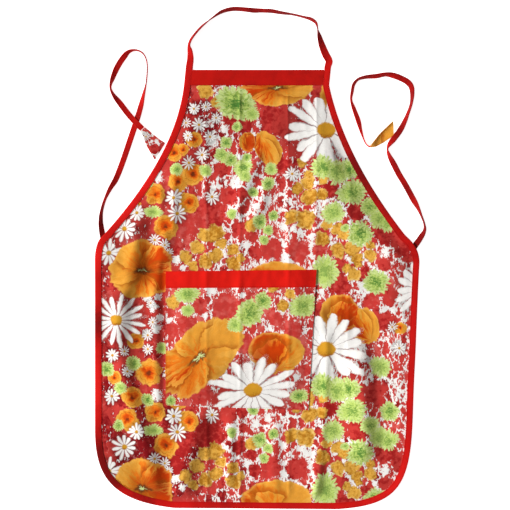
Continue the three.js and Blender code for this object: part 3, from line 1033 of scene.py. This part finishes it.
    def blooms(self):
        """Ringed orange flowers with a dark heart."""
        finish = self.finish
        bloom = Flower(self, "bloom", sway=0.35)
        ruffle = bloom.ruffle(1.2)
        grain = bloom.grain(2.0)
        edge = 1.0 + ruffle * 0.75 + grain * 0.2
        ring = bloom.out + ruffle * 0.6 + grain * 0.7 - bloom.up * 0.2
        petals = self.tint("orange_deep", "orange", finish.ease(ring, 0.18, 0.5))
        petals = self.over(petals, "poppy_gold", finish.ease(ring, 0.38, 0.68))
        rim = finish.ease(bloom.out - edge, -0.24, -0.06)
        petals = self.over(petals, "orange_light", rim * 0.75)
        turn = bloom.round * 3 + ruffle * 2 + bloom.tone * 9
        fold = finish.ease(turn.zigzag() + grain * 0.6, 0.84, 1.05) * finish.ease(bloom.out, 0.25, 0.6)
        petals = self.over(petals, "poppy_shade", fold * 0.6)
        petals = self.over(petals, "orange", finish.ease(grain - ruffle * 0.4, 0.04, 0.22) * 0.6)
        line = finish.ease((bloom.out * 2.3 + ruffle * 1.6 + grain * 0.8).zigzag(), 0.78, 1.0)
        petals = self.over(petals, "poppy_shade", line * 0.62)
        heart = bloom.out + grain * 0.5 + self.fine * 0.3
        petals = self.over(petals, "brown", finish.ease(heart, 0.24, 0.06) * 0.85)
        self.lay(petals, bloom.inside(edge, 0.07))

    def daisies(self, kind, petal_count, girth, tip, eye_size, soft):
        """White petals with gaps between them, round a gold eye."""
        finish = self.finish
        daisy = Flower(self, kind, sway=0.1)
        turn = daisy.round * petal_count + daisy.tone * 5
        luck = daisy.luck(turn, petal_count)
        length = 1.05 - luck * tip
        between = (turn - turn.whole() - (luck - 0.5) * 0.35).size() * 2
        aside = between * daisy.out * (math.pi / petal_count)
        taper = ((daisy.out - 0.45) / (length - 0.45)).most(0.0).least(1.0)
        slender = (1.14 - daisy.tone * 0.4) * girth * (0.85 + luck * 0.3)
        half = (1 - taper ** 4) ** 0.5 * finish.ease(daisy.out, -0.3, 0.62) * slender
        petal = finish.ease(half - aside + self.fine * soft, -soft, soft) * daisy.inside(length, soft)
        self.shade(daisy.inside(1.0, 0.25) * 0.38)
        grey = finish.ease(aside / half.most(0.02) + self.fine * 0.9, 0.5, 1.05)
        grey = grey * finish.ease(daisy.out, 1.05, 0.4)
        white = self.tint("white", "grey", grey * 0.6 + finish.ease(self.middling, 0.0, 0.3) * 0.35)
        line = finish.ease(between + self.fine * 0.12, 0.84, 1.0) * finish.ease(daisy.out, 0.85, 0.35)
        white = self.over(white, "petal_line", line * 0.6)
        self.lay(white, petal)
        yolk = self.tint("eye", "eye_shade", finish.ease(self.fine * 1.6 - daisy.up / eye_size, 0.1, 1.0))
        self.lay(yolk, daisy.inside(eye_size + self.fine * 0.06, soft))

    def poppies(self, kind, petal_count, root, eye):
        """Broad silky petals over each other, orange towards the heart and gold towards a frilled edge."""
        finish = self.finish
        poppy = Flower(self, kind, sway=0.2, root=root)
        ruffle = poppy.ruffle(0.9)
        silk = poppy.silk(2.6, 0.9)
        streak = poppy.silk(7.0, 1.2)
        turn = poppy.round * petal_count + ruffle * 1.2 + poppy.out * 0.6 + poppy.tone * 3
        petal = turn - turn.math("FLOOR", turn)
        frill = poppy.ruffle(3.5) * 0.22 + (petal * math.pi).sin() * 0.07 + self.fine * 0.06
        edge = 0.95 + ruffle * 0.5 + frill
        heat = poppy.across * 0.75 + poppy.tone * 0.95 + 0.05 - poppy.out * 0.45
        heat = heat + silk * 1.2 + streak * 1.3 - petal * 0.2
        petals = self.tint("poppy_gold", "orange", finish.ease(heat, -0.14, 0.14))
        petals = self.over(petals, "orange_deep", finish.ease(heat, 0.16, 0.5))
        light = finish.ease(petal * 0.3 - silk - streak * 1.3, 0.12, 0.36) * finish.ease(poppy.out, 0.25, 0.8)
        petals = self.over(petals, "orange_light", light * (0.65 - poppy.tone * 0.5))
        fold = finish.ease(petal, 0.25, 0.0) * finish.ease(poppy.reach, 0.12, 0.5)
        petals = self.over(petals, "poppy_shade", fold * 0.68)
        vein = finish.ease(streak - silk * 0.3, 0.1, 0.32) * finish.ease(poppy.out, 0.1, 0.4)
        petals = self.over(petals, "poppy_shade", vein * 0.22)
        rim = finish.ease(poppy.out - edge, -0.14, -0.02)
        petals = self.over(petals, "orange_light", rim * 0.6)
        if eye:
            scorch = finish.ease(poppy.out + silk * 0.8 + streak * 0.5, 0.7, 0.14) * poppy.tone * 1.4
            petals = self.over(petals, "poppy_shade", scorch)
            slit = (poppy.across * poppy.across * 0.5 + poppy.up * poppy.up * 2) ** 0.5
            slit = slit + silk * 0.4 + self.middling * 0.2
            petals = self.over(petals, "brown", finish.ease(slit, 0.25, 0.1) * 0.9)
            seeds = finish.ease(slit + poppy.tone * 0.12, 0.135, 0.08)
            petals = self.over(petals, "leaf_light", seeds)
        self.lay(petals, poppy.inside(edge, 0.03))


def printed_cotton():
    finish = Finish("printed_cotton")
    sheet = Print(finish)
    sheet.patches()
    sheet.roses()
    sheet.golds()
    sheet.blooms()
    sheet.daisies("daisy", petal_count=11, girth=0.12, tip=0.35, eye_size=0.17, soft=0.05)
    sheet.poppies("poppy", petal_count=5, root=0.0, eye=True)
    sheet.poppies("petal", petal_count=2, root=0.85, eye=False)
    sheet.daisies("great_daisy", petal_count=16, girth=0.1, tip=0.28, eye_size=0.2, soft=0.022)
    sheet.mums()
    shown = SHOW_THROUGH + sheet.side * (1 - SHOW_THROUGH)
    colour = finish.blend(linear("wrong_side"), sheet.colour, shown)
    threads = weave(sheet.x, sheet.y)
    slub = finish.noise(sheet.place, 900, 1.0)
    # Painted shade: the whole print is darkened in its zones, small wrinkles are painted as mottled shade,
    # and the weave's low places are painted a little darker
    plain = 0.92 - finish.attribute("dull", "Fac")
    painted_wrinkle_shade = sheet.middling * 0.3 + sheet.fine * 0.16
    colour = finish.dim(colour, plain + slub * 0.1 + threads * 0.06 + painted_wrinkle_shade)
    return finish.done(colour, relief(threads, slub), depth=WEAVE_DEPTH, roughness=0.88, sheen=0.04)


def red_cloth(name, shade, plain, light, bias):
    """Plain red weave with painted light and shade as the piece's tone says; in bias tape the threads slant.
    """
    finish = Finish(name)
    x, y, side = finish.parts(finish.attribute("cut"))
    place = finish.vector(x, y, side * 0.3)
    slub = finish.noise(place, 700, 2.0, 0.6)
    rubbed = finish.noise(place, 160, 3.0, 0.6)
    faded = finish.noise(place, 22, 3.0, 0.55)
    # The tone attribute is painted light and shade; the faded and rubbed noise varies the red at random
    level = finish.attribute("tone", "Fac") + faded * 0.8 + rubbed * 0.3 - 0.55
    colour = finish.blend(linear(shade), linear(plain), finish.ease(level, 0.0, 0.55))
    colour = finish.blend(colour, linear(light), finish.ease(level, 0.5, 1.0))
    threads = weave(x + y, x - y) if bias else weave(x, y)
    # The weave's low places are painted a little darker, painted shade between the threads
    colour = finish.dim(colour, 0.88 + slub * 0.16 + threads * 0.06)
    roughness = 0.8 + rubbed * 0.12
    return finish.done(colour, relief(threads, slub), depth=WEAVE_DEPTH, roughness=roughness, sheen=0.02)


def sewing_thread():
    """Red thread with the twist of its strands."""
    finish = Finish("sewing_thread")
    place = finish.node("TexCoord", output="Object")
    x, y, z = finish.parts(place)
    twist = 0.5 + 0.5 * ((x + y + z) * (math.tau / STRAND_PITCH)).sin()
    # The grooves between the strands are painted darker, painted shade
    colour = finish.blend(linear("tape_shade"), linear("thread"), twist)
    return finish.done(colour, twist, depth=0.05, roughness=0.6, sheen=0.02)


def pale_floor():
    finish = Finish("pale_floor")
    place = finish.node("TexCoord", output="Object")
    grain = finish.noise(place, 3.0, 2.0)
    colour = finish.blend(linear("floor"), linear("floor", 0.985), grain)
    bumps = finish.noise(place, 60, 2.0)
    return finish.done(colour, bumps, depth=0.02, roughness=0.9, sheen=0.0, glow=FLOOR_GLOW)


PRINTED = printed_cotton()
TAPE_RED = red_cloth("red_tape", "tape_shade", "tape", "tape_light", bias=True)
BAND_RED = red_cloth("red_cotton", "band_shade", "band", "band_light", bias=False)
THREAD = sewing_thread()


# The print on a piece of cloth

def from_chart(x, y):
    """A chart square's place on the apron."""
    return (x - CHART_ORIGIN[0]) * CHART_SQUARE, (CHART_ORIGIN[1] - y) * CHART_SQUARE


def chart_rows(small, great):
    """Each kind of flower as places, half sizes and tones on the apron."""
    charts = {}
    for kind, rows in small.items():
        tones = [(i * TONE_STEP) % 1 for i in range(len(rows))]
        charts[kind] = [(x, y, radius, radius, tone, 0) for (x, y, radius), tone in zip(rows, tones)]
    for kind, rows in great.items():
        charts[kind] = charts.get(kind, []) + rows
    return charts


def repeated(rows):
    """The chart's rows again one repeat above and below."""
    return [(x, y + turn * PRINT_REPEAT, *rest) for turn in (-1, 0, 1) for x, y, *rest in rows]


def flower_places(corners, rows):
    """Where each corner of a face lies in the flower nearest to its face: in flower radii, and its tone."""
    middles = corners.mean(axis=1)
    nearest = np.full(len(corners), np.inf)
    chosen = np.zeros(len(corners), int)
    table = np.array(rows or [FAR_AWAY], float)
    at = np.stack(from_chart(table[:, 0], table[:, 1]), axis=1)
    size = table[:, 2:4] * CHART_SQUARE
    for i in range(len(table)):
        away = np.linalg.norm((middles - at[i]) / size[i], axis=1)
        closer = away < nearest
        nearest[closer] = away[closer]
        chosen[closer] = i
    across, up = np.moveaxis(corners - at[chosen][:, None], 2, 0)
    turn = np.radians(table[chosen, 5])[:, None]
    sine, cosine = np.sin(turn), np.cos(turn)
    local = np.stack([across * cosine + up * sine, up * cosine - across * sine], axis=2)
    local /= size[chosen][:, None]
    tones = np.broadcast_to(table[chosen, 4][:, None, None], (*local.shape[:2], 1))
    return np.concatenate([local, tones], axis=2)


def print_on(piece, faces, cut, charts, **levels):
    """Prints the charted flowers; the levels are the share of white, the painted shade on the red and the
    painted shade on the whole print.
    """
    flat = np.concatenate([cut.reshape(-1, 2)] * 2)
    corners = flat[faces]
    for kind, rows in charts.items():
        write(piece, kind, flower_places(corners, rows), domain="CORNER")
    for name, level in levels.items():
        write(piece, name, np.tile(np.broadcast_to(level, cut.shape[:2]).ravel(), 2), kind="FLOAT")


BODY_CHARTS = {kind: repeated(rows) for kind, rows in chart_rows(BODY_FLOWERS, BODY_GREAT_FLOWERS).items()}
POCKET_CHARTS = chart_rows(POCKET_FLOWERS, POCKET_GREAT_FLOWERS)


def zone_sum(cut, rows):
    """The changes of soft round zones of the chart."""
    total = np.zeros(cut.shape[:2])
    for x, y, spread, change in rows:
        away = np.linalg.norm(cut - np.array(from_chart(x, y)), axis=-1) / (spread * CHART_SQUARE)
        total += change * np.exp(-(away ** 2))
    return total


def white_share(cut):
    """How much of the ground is white: little on the left, then more."""
    low, high = (from_chart(x, 0)[0] for x in SPECKLE_FROM)
    share = mix(SPECKLE_WHITE["left"], SPECKLE_WHITE["right"], ease(cut[..., 0], low, high))
    return share + zone_sum(cut, repeated(WHITE_ZONES))


# The pieces

def body_cloth():
    left = inset(LEFT, 1, FOLD_INSET)
    right = inset(RIGHT, -1, FOLD_INSET)
    left[0, 1] = right[0, 1] = BIB_TOP - FOLD_INSET
    shares = np.linspace(0, 1, CLOTH_COLUMNS + 1)[None, :, None]
    plan = mix(left[:, None], right[:, None], shares)
    flat = plan.reshape(-1, 2)
    lower = np.column_stack([flat, cloth_height(flat)]).reshape(*plan.shape[:2], 3)
    upper = lower + [0, 0, CLOTH]
    piece, faces = add_sheet("body_cloth", upper, lower, PRINTED, plan)
    print_on(piece, faces, plan, BODY_CHARTS, speckle=white_share(plan), deep=zone_sum(plan, RED_PAINTED_SHADE_ZONES),
             dull=zone_sum(plan, PRINT_PAINTED_SHADE_ZONES))
    rim = np.concatenate([left, right[::-1]])
    x, y = rim.T
    area = abs(np.sum(x * np.roll(y, -1) - y * np.roll(x, -1))) / 2 * MM * MM
    width = RIGHT[:, 0].max() - LEFT[:, 0].min()
    length = BIB_TOP - OUTLINE[:, 1].min()
    settle(piece, "body_panel", (width, length), area=area)


def fold_section(width):
    """A folded strip's section: distances from the fold and heights, of its outer and its inner face."""
    flat_run = np.linspace(width, STRIP_HALF, max(FOLD_RUN_LEAST, round(width / FOLD_STEP)))
    turn = np.linspace(math.pi / 2, 3 * math.pi / 2, FOLD_TURN_POINTS)
    sections = []
    for reach in (STRIP_HALF, SLOT_HALF):
        depth = np.concatenate([flat_run, STRIP_HALF + reach * np.cos(turn[1:-1]), flat_run[::-1]])
        height = np.concatenate([np.full(len(flat_run), reach), reach * np.sin(turn[1:-1]),
                                 np.full(len(flat_run), -reach)])
        sections.append((depth, height))
    return sections


def folded_strip(name, width, tones, place, material):
    """A strip folded over an edge, with a tone of painted light and shade for each of its stations.

    The place function puts a station, a depth from the fold and a height on the apron.
    """
    count = len(tones)
    outer, inner = fold_section(width)
    stations = np.repeat(np.arange(count), len(outer[0]))
    grids = []
    for (depth, height), level in ((outer, 1), (inner, 0)):
        points = place(stations, np.tile(depth, count), np.tile(height, count), level)
        grids.append(points.reshape(count, -1, 3))
    middle = grids[0][:, len(outer[0]) // 4]
    run = lengths_along(middle)
    across = np.concatenate([[0], np.cumsum(np.hypot(np.diff(outer[0]), np.diff(outer[1])))])
    cut = np.stack(np.meshgrid(across, run), axis=-1)
    piece, _ = add_sheet(name, *grids, material, cut)
    write(piece, "tone", np.tile(np.repeat(tones, len(across)), 2), kind="FLOAT")
    return piece, run[-1]


def pressed(depth, width, height):
    """The upper leaf is drawn down along its row of stitches."""
    draw, reach = SEAM_DRAW["strip"]
    near = np.exp(-((depth - (width - STITCH["edge"])) / reach) ** 2)
    return np.where(height > 0, -draw * near, 0)


def swell(depth, width):
    """Nothing at both edges of a strip and 1 half way between them."""
    return np.sin(np.clip(depth / width, 0, 1) * math.pi)


def band_rise(flat, depth, width, height, level, seed):
    """The waves in the upper leaf of a band, and the draw of its stitches."""
    wave = waves(flat * [1, BAND_WAVE["stretch"]], BAND_WAVE["length"], seed)
    wave = BAND_WAVE["height"] * np.clip(BAND_WAVE["level"] + wave, 0, 1) * swell(depth, width)
    return np.where(height > 0, wave, 0) + pressed(depth, width, height) * level


def sew_strip(name, node, width, tones, place, material, stitches_name):
    """Folds a strip over its edge and sews it down with one row of stitches."""
    piece, length = folded_strip(name, width, tones, place, material)
    count = len(tones)
    seam = place(np.arange(count), np.full(count, width - STITCH["edge"]), np.full(count, STRIP_HALF), 1)
    stitches = add_stitches(stitches_name, [(seam, upright(seam))], THREAD)
    settle(piece, node, (2 * width, length))


def painted_edge_light(points):
    """How brightly light and shade are painted on the binding along the edge."""
    tones = np.full(len(points), EDGE_BASE_PAINTED_LIGHT)
    for x, y, spread, change in EDGE_PAINTED_LIGHT_ZONES:
        tones += change * np.exp(-(np.linalg.norm(points - [x, y], axis=1) / spread) ** 2)
    return tones


def edge_tape():
    inward = into_cloth(BOUND_EDGE, 1)
    run = lengths_along(BOUND_EDGE)
    puffed = np.array([noise.noise((s / PUCKER["length"], *PUCKER_SEEDS["puff"])) for s in run])
    wider = np.array([noise.noise((s / PUCKER["width_length"], *PUCKER_SEEDS["width"])) for s in run])

    def place(station, depth, height, level):
        width_change = PUCKER["width"] * wider[station] * depth / BINDING_WIDTH
        flat = BOUND_EDGE[station] + inward[station] * (depth + width_change)[:, None]
        puff = np.clip(puffed[station] + PUCKER["level"], 0, 1) * swell(depth, BINDING_WIDTH)
        puff = np.where(height > 0, PUCKER["height"] * puff, 0)
        rise = puff + pressed(depth, BINDING_WIDTH, height) * level
        lift = edge_rise(flat) + edge_wave(flat, distance_to(flat, BOUND_LINE))
        return np.column_stack([flat, EDGE_LIFT + CLOTH / 2 + lift + height + rise])

    sew_strip("edge_tape", "edge_binding", BINDING_WIDTH, painted_edge_light(BOUND_EDGE), place, TAPE_RED,
              "edge_stitches")


def band_end_x(points, turn, y):
    """Where the bib band stops beside the binding's inner edge."""
    inner = inset(points, turn, BINDING_WIDTH + BAND_CLEARANCE)
    top = inner[:BIB_SIDE_POINTS]
    return np.interp(y, top[::-1, 1], top[::-1, 0])


def bib_band():
    count = round((EDGE["right"]["bib"][0] - EDGE["left"]["bib"][0]) / TAPE_STEP)

    def place(station, depth, height, level):
        y = BIB_TOP - depth
        x = mix(band_end_x(RIGHT, -1, y), band_end_x(LEFT, 1, y), station / (count - 1))
        flat = np.column_stack([x, y])
        lift = edge_wave(flat, distance_to(flat, BOUND_LINE))
        rise = band_rise(flat, depth, BIB_BAND_HEIGHT, height, level, SEEDS["bib_band"])
        return np.column_stack([flat, EDGE_LIFT + CLOTH / 2 + lift + height + rise])

    tones = np.full(count, BAND_PAINTED_LIGHT["bib"])
    sew_strip("bib_band_cloth", "bib_band", BIB_BAND_HEIGHT, tones, place, BAND_RED,
              "bib_band_stitches")


def pocket_point(across, up):
    """A point on the pocket's underside: across runs from the left seam, up from the bottom to the mouth."""
    bottom = mix(POCKET["bottom_left"], POCKET["bottom_right"], across[:, None])
    mouth = mix(POCKET["mouth_left"], POCKET["mouth_right"], across[:, None])
    flat = mix(bottom, mouth, up[:, None])
    off = ease(np.minimum(across, 1 - across), 0, POCKET["side_ease"]) * ease(up, 0, POCKET["bottom_ease"])
    over_band = (TAPE + GAP) * ease(up, *POCKET["band_ease"])
    detail = (creases(flat) + crumple(flat) - CRUMPLE["height"] / 2) * off
    return np.column_stack([flat, CLOTH + GAP + over_band + POCKET["puff"] * off + detail])


def pocket_hem(across, up):
    """The turned-in edges make the seams of the pocket a little thicker."""
    draw, reach = SEAM_DRAW["pocket"]
    to_seam = np.minimum(np.minimum(across, 1 - across) * POCKET_WIDTH, up * POCKET_HEIGHT)
    groove = np.exp(-((to_seam - STITCH["edge"]) / reach) ** 2)
    single = ease(to_seam, POCKET_HEM["width"] - POCKET_HEM["ease"], POCKET_HEM["width"])
    return POCKET_HEM["rise"] * (1 - single) - draw * groove


def pocket_seam():
    """The row of stitches down one side of the pocket, along its bottom and up the other side."""
    side = STITCH["edge"] / POCKET_WIDTH
    low = STITCH["edge"] / POCKET_HEIGHT
    top = 1 - POCKET_BAND_HEIGHT / POCKET_HEIGHT
    tall, wide = SEAM_POINTS["side"], SEAM_POINTS["bottom"]
    across = np.concatenate([np.full(tall, side), np.linspace(side, 1 - side, wide), np.full(tall, 1 - side)])
    up = np.concatenate([np.linspace(top, low, tall), np.full(wide, low), np.linspace(low, top, tall)])
    path = pocket_point(across, up)
    path[:, 2] += CLOTH + pocket_hem(across, up)
    return spaced(path, SEAM_STEP)


def pocket():
    top = 1 - FOLD_INSET / POCKET_HEIGHT
    columns = round(POCKET_WIDTH / POCKET_STEP)
    rows = round(POCKET_HEIGHT / POCKET_STEP)
    across, up = np.meshgrid(np.linspace(0, 1, columns + 1), np.linspace(0, top, rows + 1))
    lower = pocket_point(across.ravel(), up.ravel())
    upper = lower.copy()
    upper[:, 2] += CLOTH + pocket_hem(across.ravel(), up.ravel())
    plan = lower[:, :2].reshape(*across.shape, 2)
    grids = (upper.reshape(*across.shape, 3), lower.reshape(*across.shape, 3))
    piece, faces = add_sheet("pocket_cloth", *grids, PRINTED, plan)
    print_on(piece, faces, plan, POCKET_CHARTS, speckle=SPECKLE_WHITE["pocket"], deep=POCKET_RED_PAINTED_SHADE,
             dull=zone_sum(plan, POCKET_PRINT_PAINTED_SHADE_ZONES))
    seam = pocket_seam()
    stitches = add_stitches("pocket_stitches", [(seam, upright(seam))], THREAD)
    settle(piece, "pocket_panel", (POCKET_WIDTH, POCKET_HEIGHT))


def pocket_band():
    count = round(POCKET_WIDTH / TAPE_STEP)

    def place(station, depth, height, level):
        points = pocket_point(1 - station / (count - 1), 1 - depth / POCKET_HEIGHT)
        rise = band_rise(points[:, :2], depth, POCKET_BAND_HEIGHT, height, level, SEEDS["pocket_band"])
        points[:, 2] += CLOTH / 2 + height + rise
        return points

    tones = np.full(count, BAND_PAINTED_LIGHT["pocket"])
    sew_strip("pocket_band_cloth", "pocket_band", POCKET_BAND_HEIGHT, tones, place, BAND_RED,
              "pocket_band_stitches")


def through(values, tangents_in, tangents_out):
    """A smooth run through a route's values."""
    t = np.linspace(0, 1, ROUTE_STEPS, endpoint=False)[None, :, None]
    a, b = values[:-1, None], values[1:, None]
    start, end = tangents_out[:-1, None], tangents_in[1:, None]
    run = a * (2 * t**3 - 3 * t**2 + 1) + start * (t**3 - 2 * t**2 + t)
    run = run + b * (3 * t**2 - 2 * t**3) + end * (t**3 - t**2)
    return np.concatenate([run.reshape(-1, values.shape[1]), values[-1:]])


def extended(values):
    """The values with one more at each end, carried straight on."""
    return np.concatenate([2 * values[:1] - values[1:2], values, 2 * values[-1:] - values[-2:-1]])


def smooth_route(places):
    """A curve through places on the plan that neither loops nor overshoots between them."""
    p = extended(places)
    gaps = np.sqrt(np.linalg.norm(np.diff(p, axis=0), axis=1))[:, None]
    before, after = gaps[:-1], gaps[1:]
    speed = (p[1:-1] - p[:-2]) / before - (p[2:] - p[:-2]) / (before + after) + (p[2:] - p[1:-1]) / after
    return through(places, speed * before, speed * after)


def smooth_states(states):
    p = extended(states)
    tangents = STATE_TENSION * (p[2:] - p[:-2])
    return through(states, tangents, tangents)


def strap_frame(route, thick):
    """A strap's middle line with its across and up directions and its widths, resting on its lowest edge."""
    table = np.array(route, float)
    middle = smooth_route(table[:, :2])
    width = table[:, 4:] if table.shape[1] > 4 else np.full((len(table), 1), STRAP_WIDTH)
    states = smooth_states(np.concatenate([table[:, 2:4], width], axis=1))
    lengths = lengths_along(middle)
    count = max(8, round(lengths[-1] / STRAP_STEP))
    wanted = np.linspace(0, lengths[-1], count + 1)
    at = at_lengths(middle, lengths, wanted)
    tilt, lift, width = at_lengths(states, lengths, wanted).T
    along = directions(at)
    sine, cosine = np.sin(np.radians(tilt)), np.cos(np.radians(tilt))
    across = np.column_stack([along[:, 1] * cosine, -along[:, 0] * cosine, sine])
    up = np.column_stack([-along[:, 1] * sine, along[:, 0] * sine, cosine])
    rest = lift + (width * abs(sine) + thick * abs(cosine)) / 2
    return np.column_stack([at, rest]), across, up, width, wanted


def strap_faces(line, across, up, width, thick):
    """Upper and lower grids of a strap's surface."""
    shares = np.array(STRAP_SECTION["across"])
    halves = np.array(STRAP_SECTION["thick"]) * thick / 2
    base = line[:, None] + across[:, None] * (shares[None, :] * width[:, None])[:, :, None]
    out = up[:, None] * halves[None, :, None]
    return base + out, base - out


def strap_stitches(name, line, across, up, width, thick):
    """A row of stitches near one edge of a tape, on both of its faces."""
    aside = (width / 2 - STITCH["edge"])[:, None] * across
    rows = []
    for face in (1, -1):
        path = line + aside + face * up * (thick / 2)
        rows.append((path, face * up))
    return add_stitches(name, rows, THREAD)


def strap(name, node, route, tones):
    line, across, up, width, run = strap_frame(route, STRAP_THICK)
    upper, lower = strap_faces(line, across, up, width, STRAP_THICK)
    places = np.array(STRAP_SECTION["across"])[None, :] * width[:, None]
    cut = np.stack([places, np.tile(run[:, None], places.shape[1])], axis=-1)
    piece, _ = add_sheet(name, upper, lower, TAPE_RED, cut)
    # The tones are painted light and shade along the strap
    shares, levels = zip(*tones)
    tone = np.interp(run / run[-1], shares, levels)
    write(piece, "tone", np.tile(np.repeat(tone, places.shape[1]), 2), kind="FLOAT")
    stitches = strap_stitches(name + "_stitches", line, across, up, width, STRAP_THICK)
    settle(piece, node, (width.max(), run[-1]),
           area=width.mean() * run[-1] * MM * MM)


def tie_end(name, node, route, square, shape):
    """The printed end of a tie: the same cloth, double, with its sewn edge at one square of the chart."""
    line, across, up, width, run = strap_frame(route, END_THICK)
    upper, lower = strap_faces(line, across, up, width, END_THICK)
    shares = np.array(STRAP_SECTION["across"])
    ahead = (shape["slant"] * (run / run[-1]) ** 2 * width)[:, None] * shares
    push = directions(line)[:, None] * ahead[:, :, None]
    push[..., 2] += (shape["curl"] * width)[:, None] * np.clip(shares - CURL_FROM, 0, 1)
    upper, lower = upper + push, lower + push
    across_cut = shares[None, :] * width[:, None]
    down_cut = -np.tile(run[:, None], len(shares))
    cut = np.stack([across_cut, down_cut], axis=-1) + np.array(from_chart(*square))
    piece, faces = add_sheet(name, upper, lower, PRINTED, cut, underside=1.0)
    print_on(piece, faces, cut, BODY_CHARTS, speckle=SPECKLE_WHITE["ends"], deep=ENDS_RED_PAINTED_SHADE,
             dull=shape["dull"])
    settle(piece, node, (width.max(), run[-1]),
           area=width.mean() * run[-1] * MM * MM)


# The floor, the light and the camera

def floor():
    signs = [(-1, -1, 0), (1, -1, 0), (1, 1, 0), (-1, 1, 0)]
    piece = add_piece("floor", np.array(signs) * FLOOR_HALF, np.array([[0, 1, 2, 3]]), pale_floor())
    piece.location.z = -FLOOR_DROP * MM


def light():
    world = bpy.data.worlds.new("studio")
    world.use_nodes = True
    background = world.node_tree.nodes["Background"]
    background.inputs["Color"].default_value = (1.0, 1.0, 1.0, 1.0)
    background.inputs["Strength"].default_value = LIGHT["sky"]
    bpy.context.scene.world = world
    lamp = bpy.data.lights.new("window", "SUN")
    lamp.energy = LIGHT["window"]
    lamp.angle = math.radians(LIGHT["spread"])
    window = bpy.data.objects.new("window", lamp)
    window.rotation_euler = Vector(LIGHT["direction"]).to_track_quat("-Z", "Y").to_euler()
    bpy.context.scene.collection.objects.link(window)


def camera():
    data = bpy.data.cameras.new("overhead")
    data.sensor_width = SENSOR
    data.lens = SENSOR * CAMERA_HEIGHT / PICTURE_WIDTH
    overhead = bpy.data.objects.new("overhead", data)
    overhead.location = Vector((*PICTURE_MIDDLE, CAMERA_HEIGHT)) * MM
    bpy.context.scene.collection.objects.link(overhead)
    bpy.context.scene.camera = overhead
    bpy.context.scene.view_settings.view_transform = "Standard"


camera()
light()
floor()
body_cloth()
edge_tape()
bib_band()
pocket()
pocket_band()
strap("neck_tape", "neck_strap", NECK_ROUTE, STRAP_PAINTED_LIGHT["neck"])
strap("tie_tape_left", "waist_tie_left", LEFT_ROUTE, STRAP_PAINTED_LIGHT["left"])
strap("tie_tape_right", "waist_tie_right", RIGHT_ROUTE, STRAP_PAINTED_LIGHT["right"])
tie_end("printed_end_left", "tie_end_left", LEFT_END, LEFT_END_SQUARE, LEFT_END_SHAPE)
tie_end("printed_end_right", "tie_end_right", RIGHT_END, RIGHT_END_SQUARE, RIGHT_END_SHAPE)
